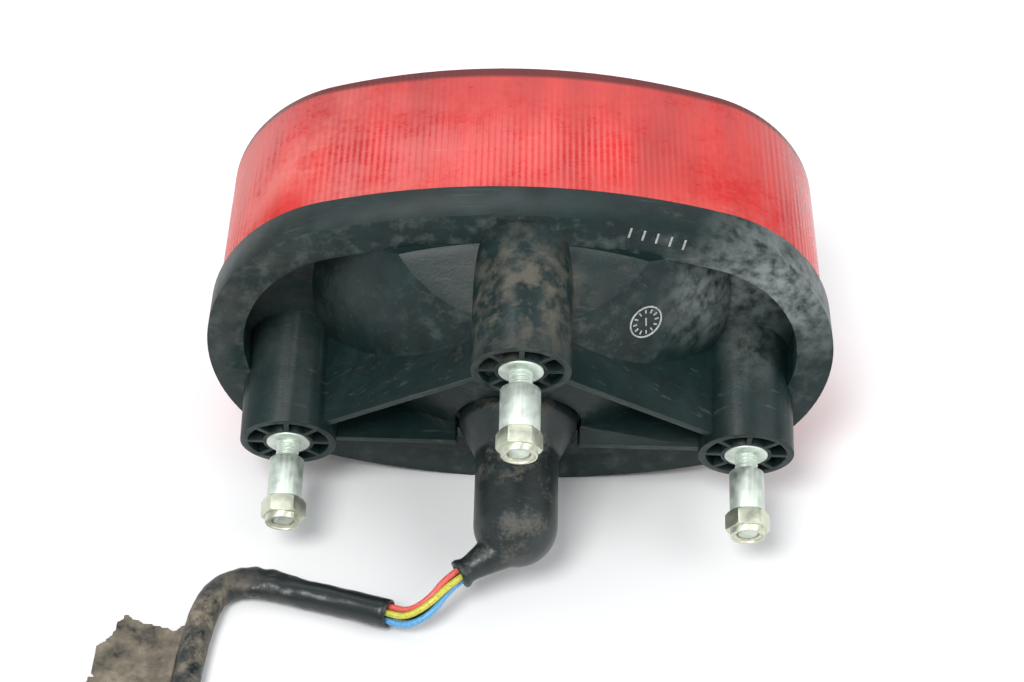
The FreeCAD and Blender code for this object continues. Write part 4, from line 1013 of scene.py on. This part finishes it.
STUD_ROOT_TO_SLEEVE = 10.95
THREAD_START = 0.5
THREAD_LENGTH = 22.3
CREST_RADIUS = 2.98
THREAD_DEPTH = 0.55
TIP_RADIUS = 2.4
TIP_TAPER, TIP_SLOPE = 0.8, 0.5
STEPS_PER_PITCH = 10
STEPS_AROUND = 36

# Places along the stud from its root, each with the stud's radius there: its end in the boss, its body,
# its round collar and the neck from which the thread starts.
STUD_OUTLINE = [
    (-10.9, 0.0), (-10.9, 4.5), (-1.2, 4.5), (-1.2, 5.6), (0.2, 5.6), (0.4, 5.4), (0.4, 3.1),
]


def thread_reach(z, pitch, turn):
    """Radius of the thread at a place and a share of a turn, cut away towards the stud's tip."""
    phase = (z / pitch + turn) % 1.0
    reach = CREST_RADIUS - THREAD_DEPTH * abs(2 * phase - 1) ** 1.3
    return reach - max(0.0, z - THREAD_LENGTH + TIP_TAPER) * TIP_SLOPE


def add_thread(side, settings):
    """Threaded stud with its round collar, in place of the plain one."""
    mount = MOUNTS[side + "_sleeve"]
    away = Vector(mount["axis"]).normalized()
    root = Vector(mount["pos_m"]) - away * STUD_ROOT_TO_SLEEVE * MM
    across, up = frame_along(away)
    pitch = settings.pitch / MM
    count = int((THREAD_LENGTH - THREAD_START) / pitch * STEPS_PER_PITCH)
    thread = [(THREAD_START + pitch * step / STEPS_PER_PITCH, None) for step in range(count)]
    rows = [*STUD_OUTLINE, *thread, (THREAD_LENGTH, TIP_RADIUS), (THREAD_LENGTH, 0.0)]
    verts = []
    for z, radius in rows:
        for step in range(STEPS_AROUND):
            turn = step / STEPS_AROUND
            reach = thread_reach(z, pitch, turn) if radius is None else radius
            out = across * math.cos(2 * math.pi * turn) + up * math.sin(2 * math.pi * turn)
            verts.append(root + (away * z + out * reach) * MM)
    stud = new_piece(f"threaded_stud_{side}", verts, skin(len(rows), STEPS_AROUND))
    work = bmesh.new()
    work.from_mesh(stud.data)
    bmesh.ops.remove_doubles(work, verts=work.verts, dist=WELD)
    bmesh.ops.recalc_face_normals(work, faces=work.faces)
    work.to_mesh(stud.data)
    work.free()
    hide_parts("stud_" + side)
    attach(stud, "light")
    return stud


class TAILLIGHT_OT_fastenings(bpy.types.Operator):
    """Adds the threaded studs, spacer sleeves and lock nuts"""

    bl_idname = "taillight.fastenings"
    bl_label = "Studs, sleeves and nuts"

    def execute(self, context):
        settings = context.scene.light_metal
        zinc = plated("Zinc plate", tuple(settings.zinc), rough=0.46, cover=0.24)
        nut_finish = plated("Nut plate", tuple(settings.nut), rough=0.32, cover=0.3)
        nylon = soiled("Nylon ring", tuple(settings.nylon), (0.3, 0.26, 0.18), cover=0.4, scale=300.0)
        for side in ("left", "centre", "right"):
            paint(add_thread(side, settings), zinc)
            spacer = rounded(f"spacer_{side}", f"sleeve_{side}", width=0.0003, body=f"spacer_{side}")
            paint(spacer, zinc)
            nut = rounded(f"nut_{side}", f"lock_nut_{side}", width=0.0004, body=f"nut_{side}")
            paint(nut, nut_finish)
            paint(frame["nodes"][f"nut_lock_ring_{side}"], nylon)
        return {"FINISHED"}


# ---------------------------------------------------------------- inside the lens

class TAILLIGHT_OT_inside(bpy.types.Operator):
    """Gives the reflector, bulbs, holders, contacts and plug their finishes"""

    bl_idname = "taillight.inside"
    bl_label = "Bulbs and contacts"

    def execute(self, context):
        settings = context.scene.light_metal
        brass = plated("Brass", tuple(settings.brass), rough=0.3)
        steel = plated("Socket steel", tuple(settings.zinc), rough=0.35)
        silver = plated("Reflector silver", (0.86, 0.86, 0.88), rough=0.12, cover=0.1)
        board = soiled("Phenolic board", (0.22, 0.10, 0.04), (0.2, 0.15, 0.1), cover=0.2, scale=400.0)
        vinyl = soiled("Lead vinyl", (0.015, 0.015, 0.016), (0.1, 0.09, 0.07), cover=0.2, scale=400.0)
        nylon = soiled("Plug nylon", (0.60, 0.58, 0.50), (0.3, 0.25, 0.2), cover=0.25, scale=300.0)
        glass, graph, shader = new_material("Bulb glass", Transmission_Weight=1.0, IOR=1.47)
        smear = graph.noise(160.0, detail=4.0)
        graph.feed(shader["Roughness"], graph.between(smear, 0.3, 0.8, 0.02, 0.10))
        finishes = [
            (brass, ("connector_pins", "tail_strip", "ground_strip", "brake_strip", "plug_terminals")),
            (silver, ("reflector",)),
            (nylon, ("plug_body",)),
        ]
        for side in ("left", "right"):
            finishes += [
                (brass, (f"bulb_cap_{side}",)),
                (steel, (f"bulb_holder_{side}", f"contact_spring_{side}", f"filament_{side}")),
                (board, (f"socket_insulator_{side}", f"contact_plunger_{side}")),
                (vinyl, (f"bulb_leads_{side}",)),
                (glass, (f"bulb_glass_{side}",)),
            ]
        for material, names in finishes:
            for name in names:
                paint(frame["nodes"][name], material)
        return {"FINISHED"}


# ---------------------------------------------------------------- panel and registration

OPERATORS = (
    TAILLIGHT_OT_stage,
    TAILLIGHT_OT_harness,
    TAILLIGHT_OT_lens,
    TAILLIGHT_OT_housing,
    TAILLIGHT_OT_boot,
    TAILLIGHT_OT_fastenings,
    TAILLIGHT_OT_inside,
)


class TAILLIGHT_PT_panel(bpy.types.Panel):
    """Lists the steps and their sizes and colours"""

    bl_idname = "TAILLIGHT_PT_panel"
    bl_label = "Tail light"
    bl_space_type = "VIEW_3D"
    bl_region_type = "UI"
    bl_category = "Tail light"

    def draw(self, context):
        for operator in OPERATORS:
            self.layout.operator(operator.bl_idname)
        for name, group in GROUPS.items():
            box = self.layout.box()
            settings = getattr(context.scene, name)
            for label in group.__annotations__:
                box.prop(settings, label)


CLASSES = (*GROUPS.values(), *OPERATORS, TAILLIGHT_PT_panel)


def register():
    for item in CLASSES:
        bpy.utils.register_class(item)
    for name, group in GROUPS.items():
        setattr(bpy.types.Scene, name, PointerProperty(type=group))


def unregister():
    for name in GROUPS:
        delattr(bpy.types.Scene, name)
    for item in reversed(CLASSES):
        bpy.utils.unregister_class(item)


def main():
    register()
    bpy.ops.taillight.stage()
    bpy.ops.taillight.harness()
    bpy.ops.taillight.lens()
    bpy.ops.taillight.housing()
    bpy.ops.taillight.boot()
    bpy.ops.taillight.fastenings()
    bpy.ops.taillight.inside()


if __name__ == "__main__":
    main()
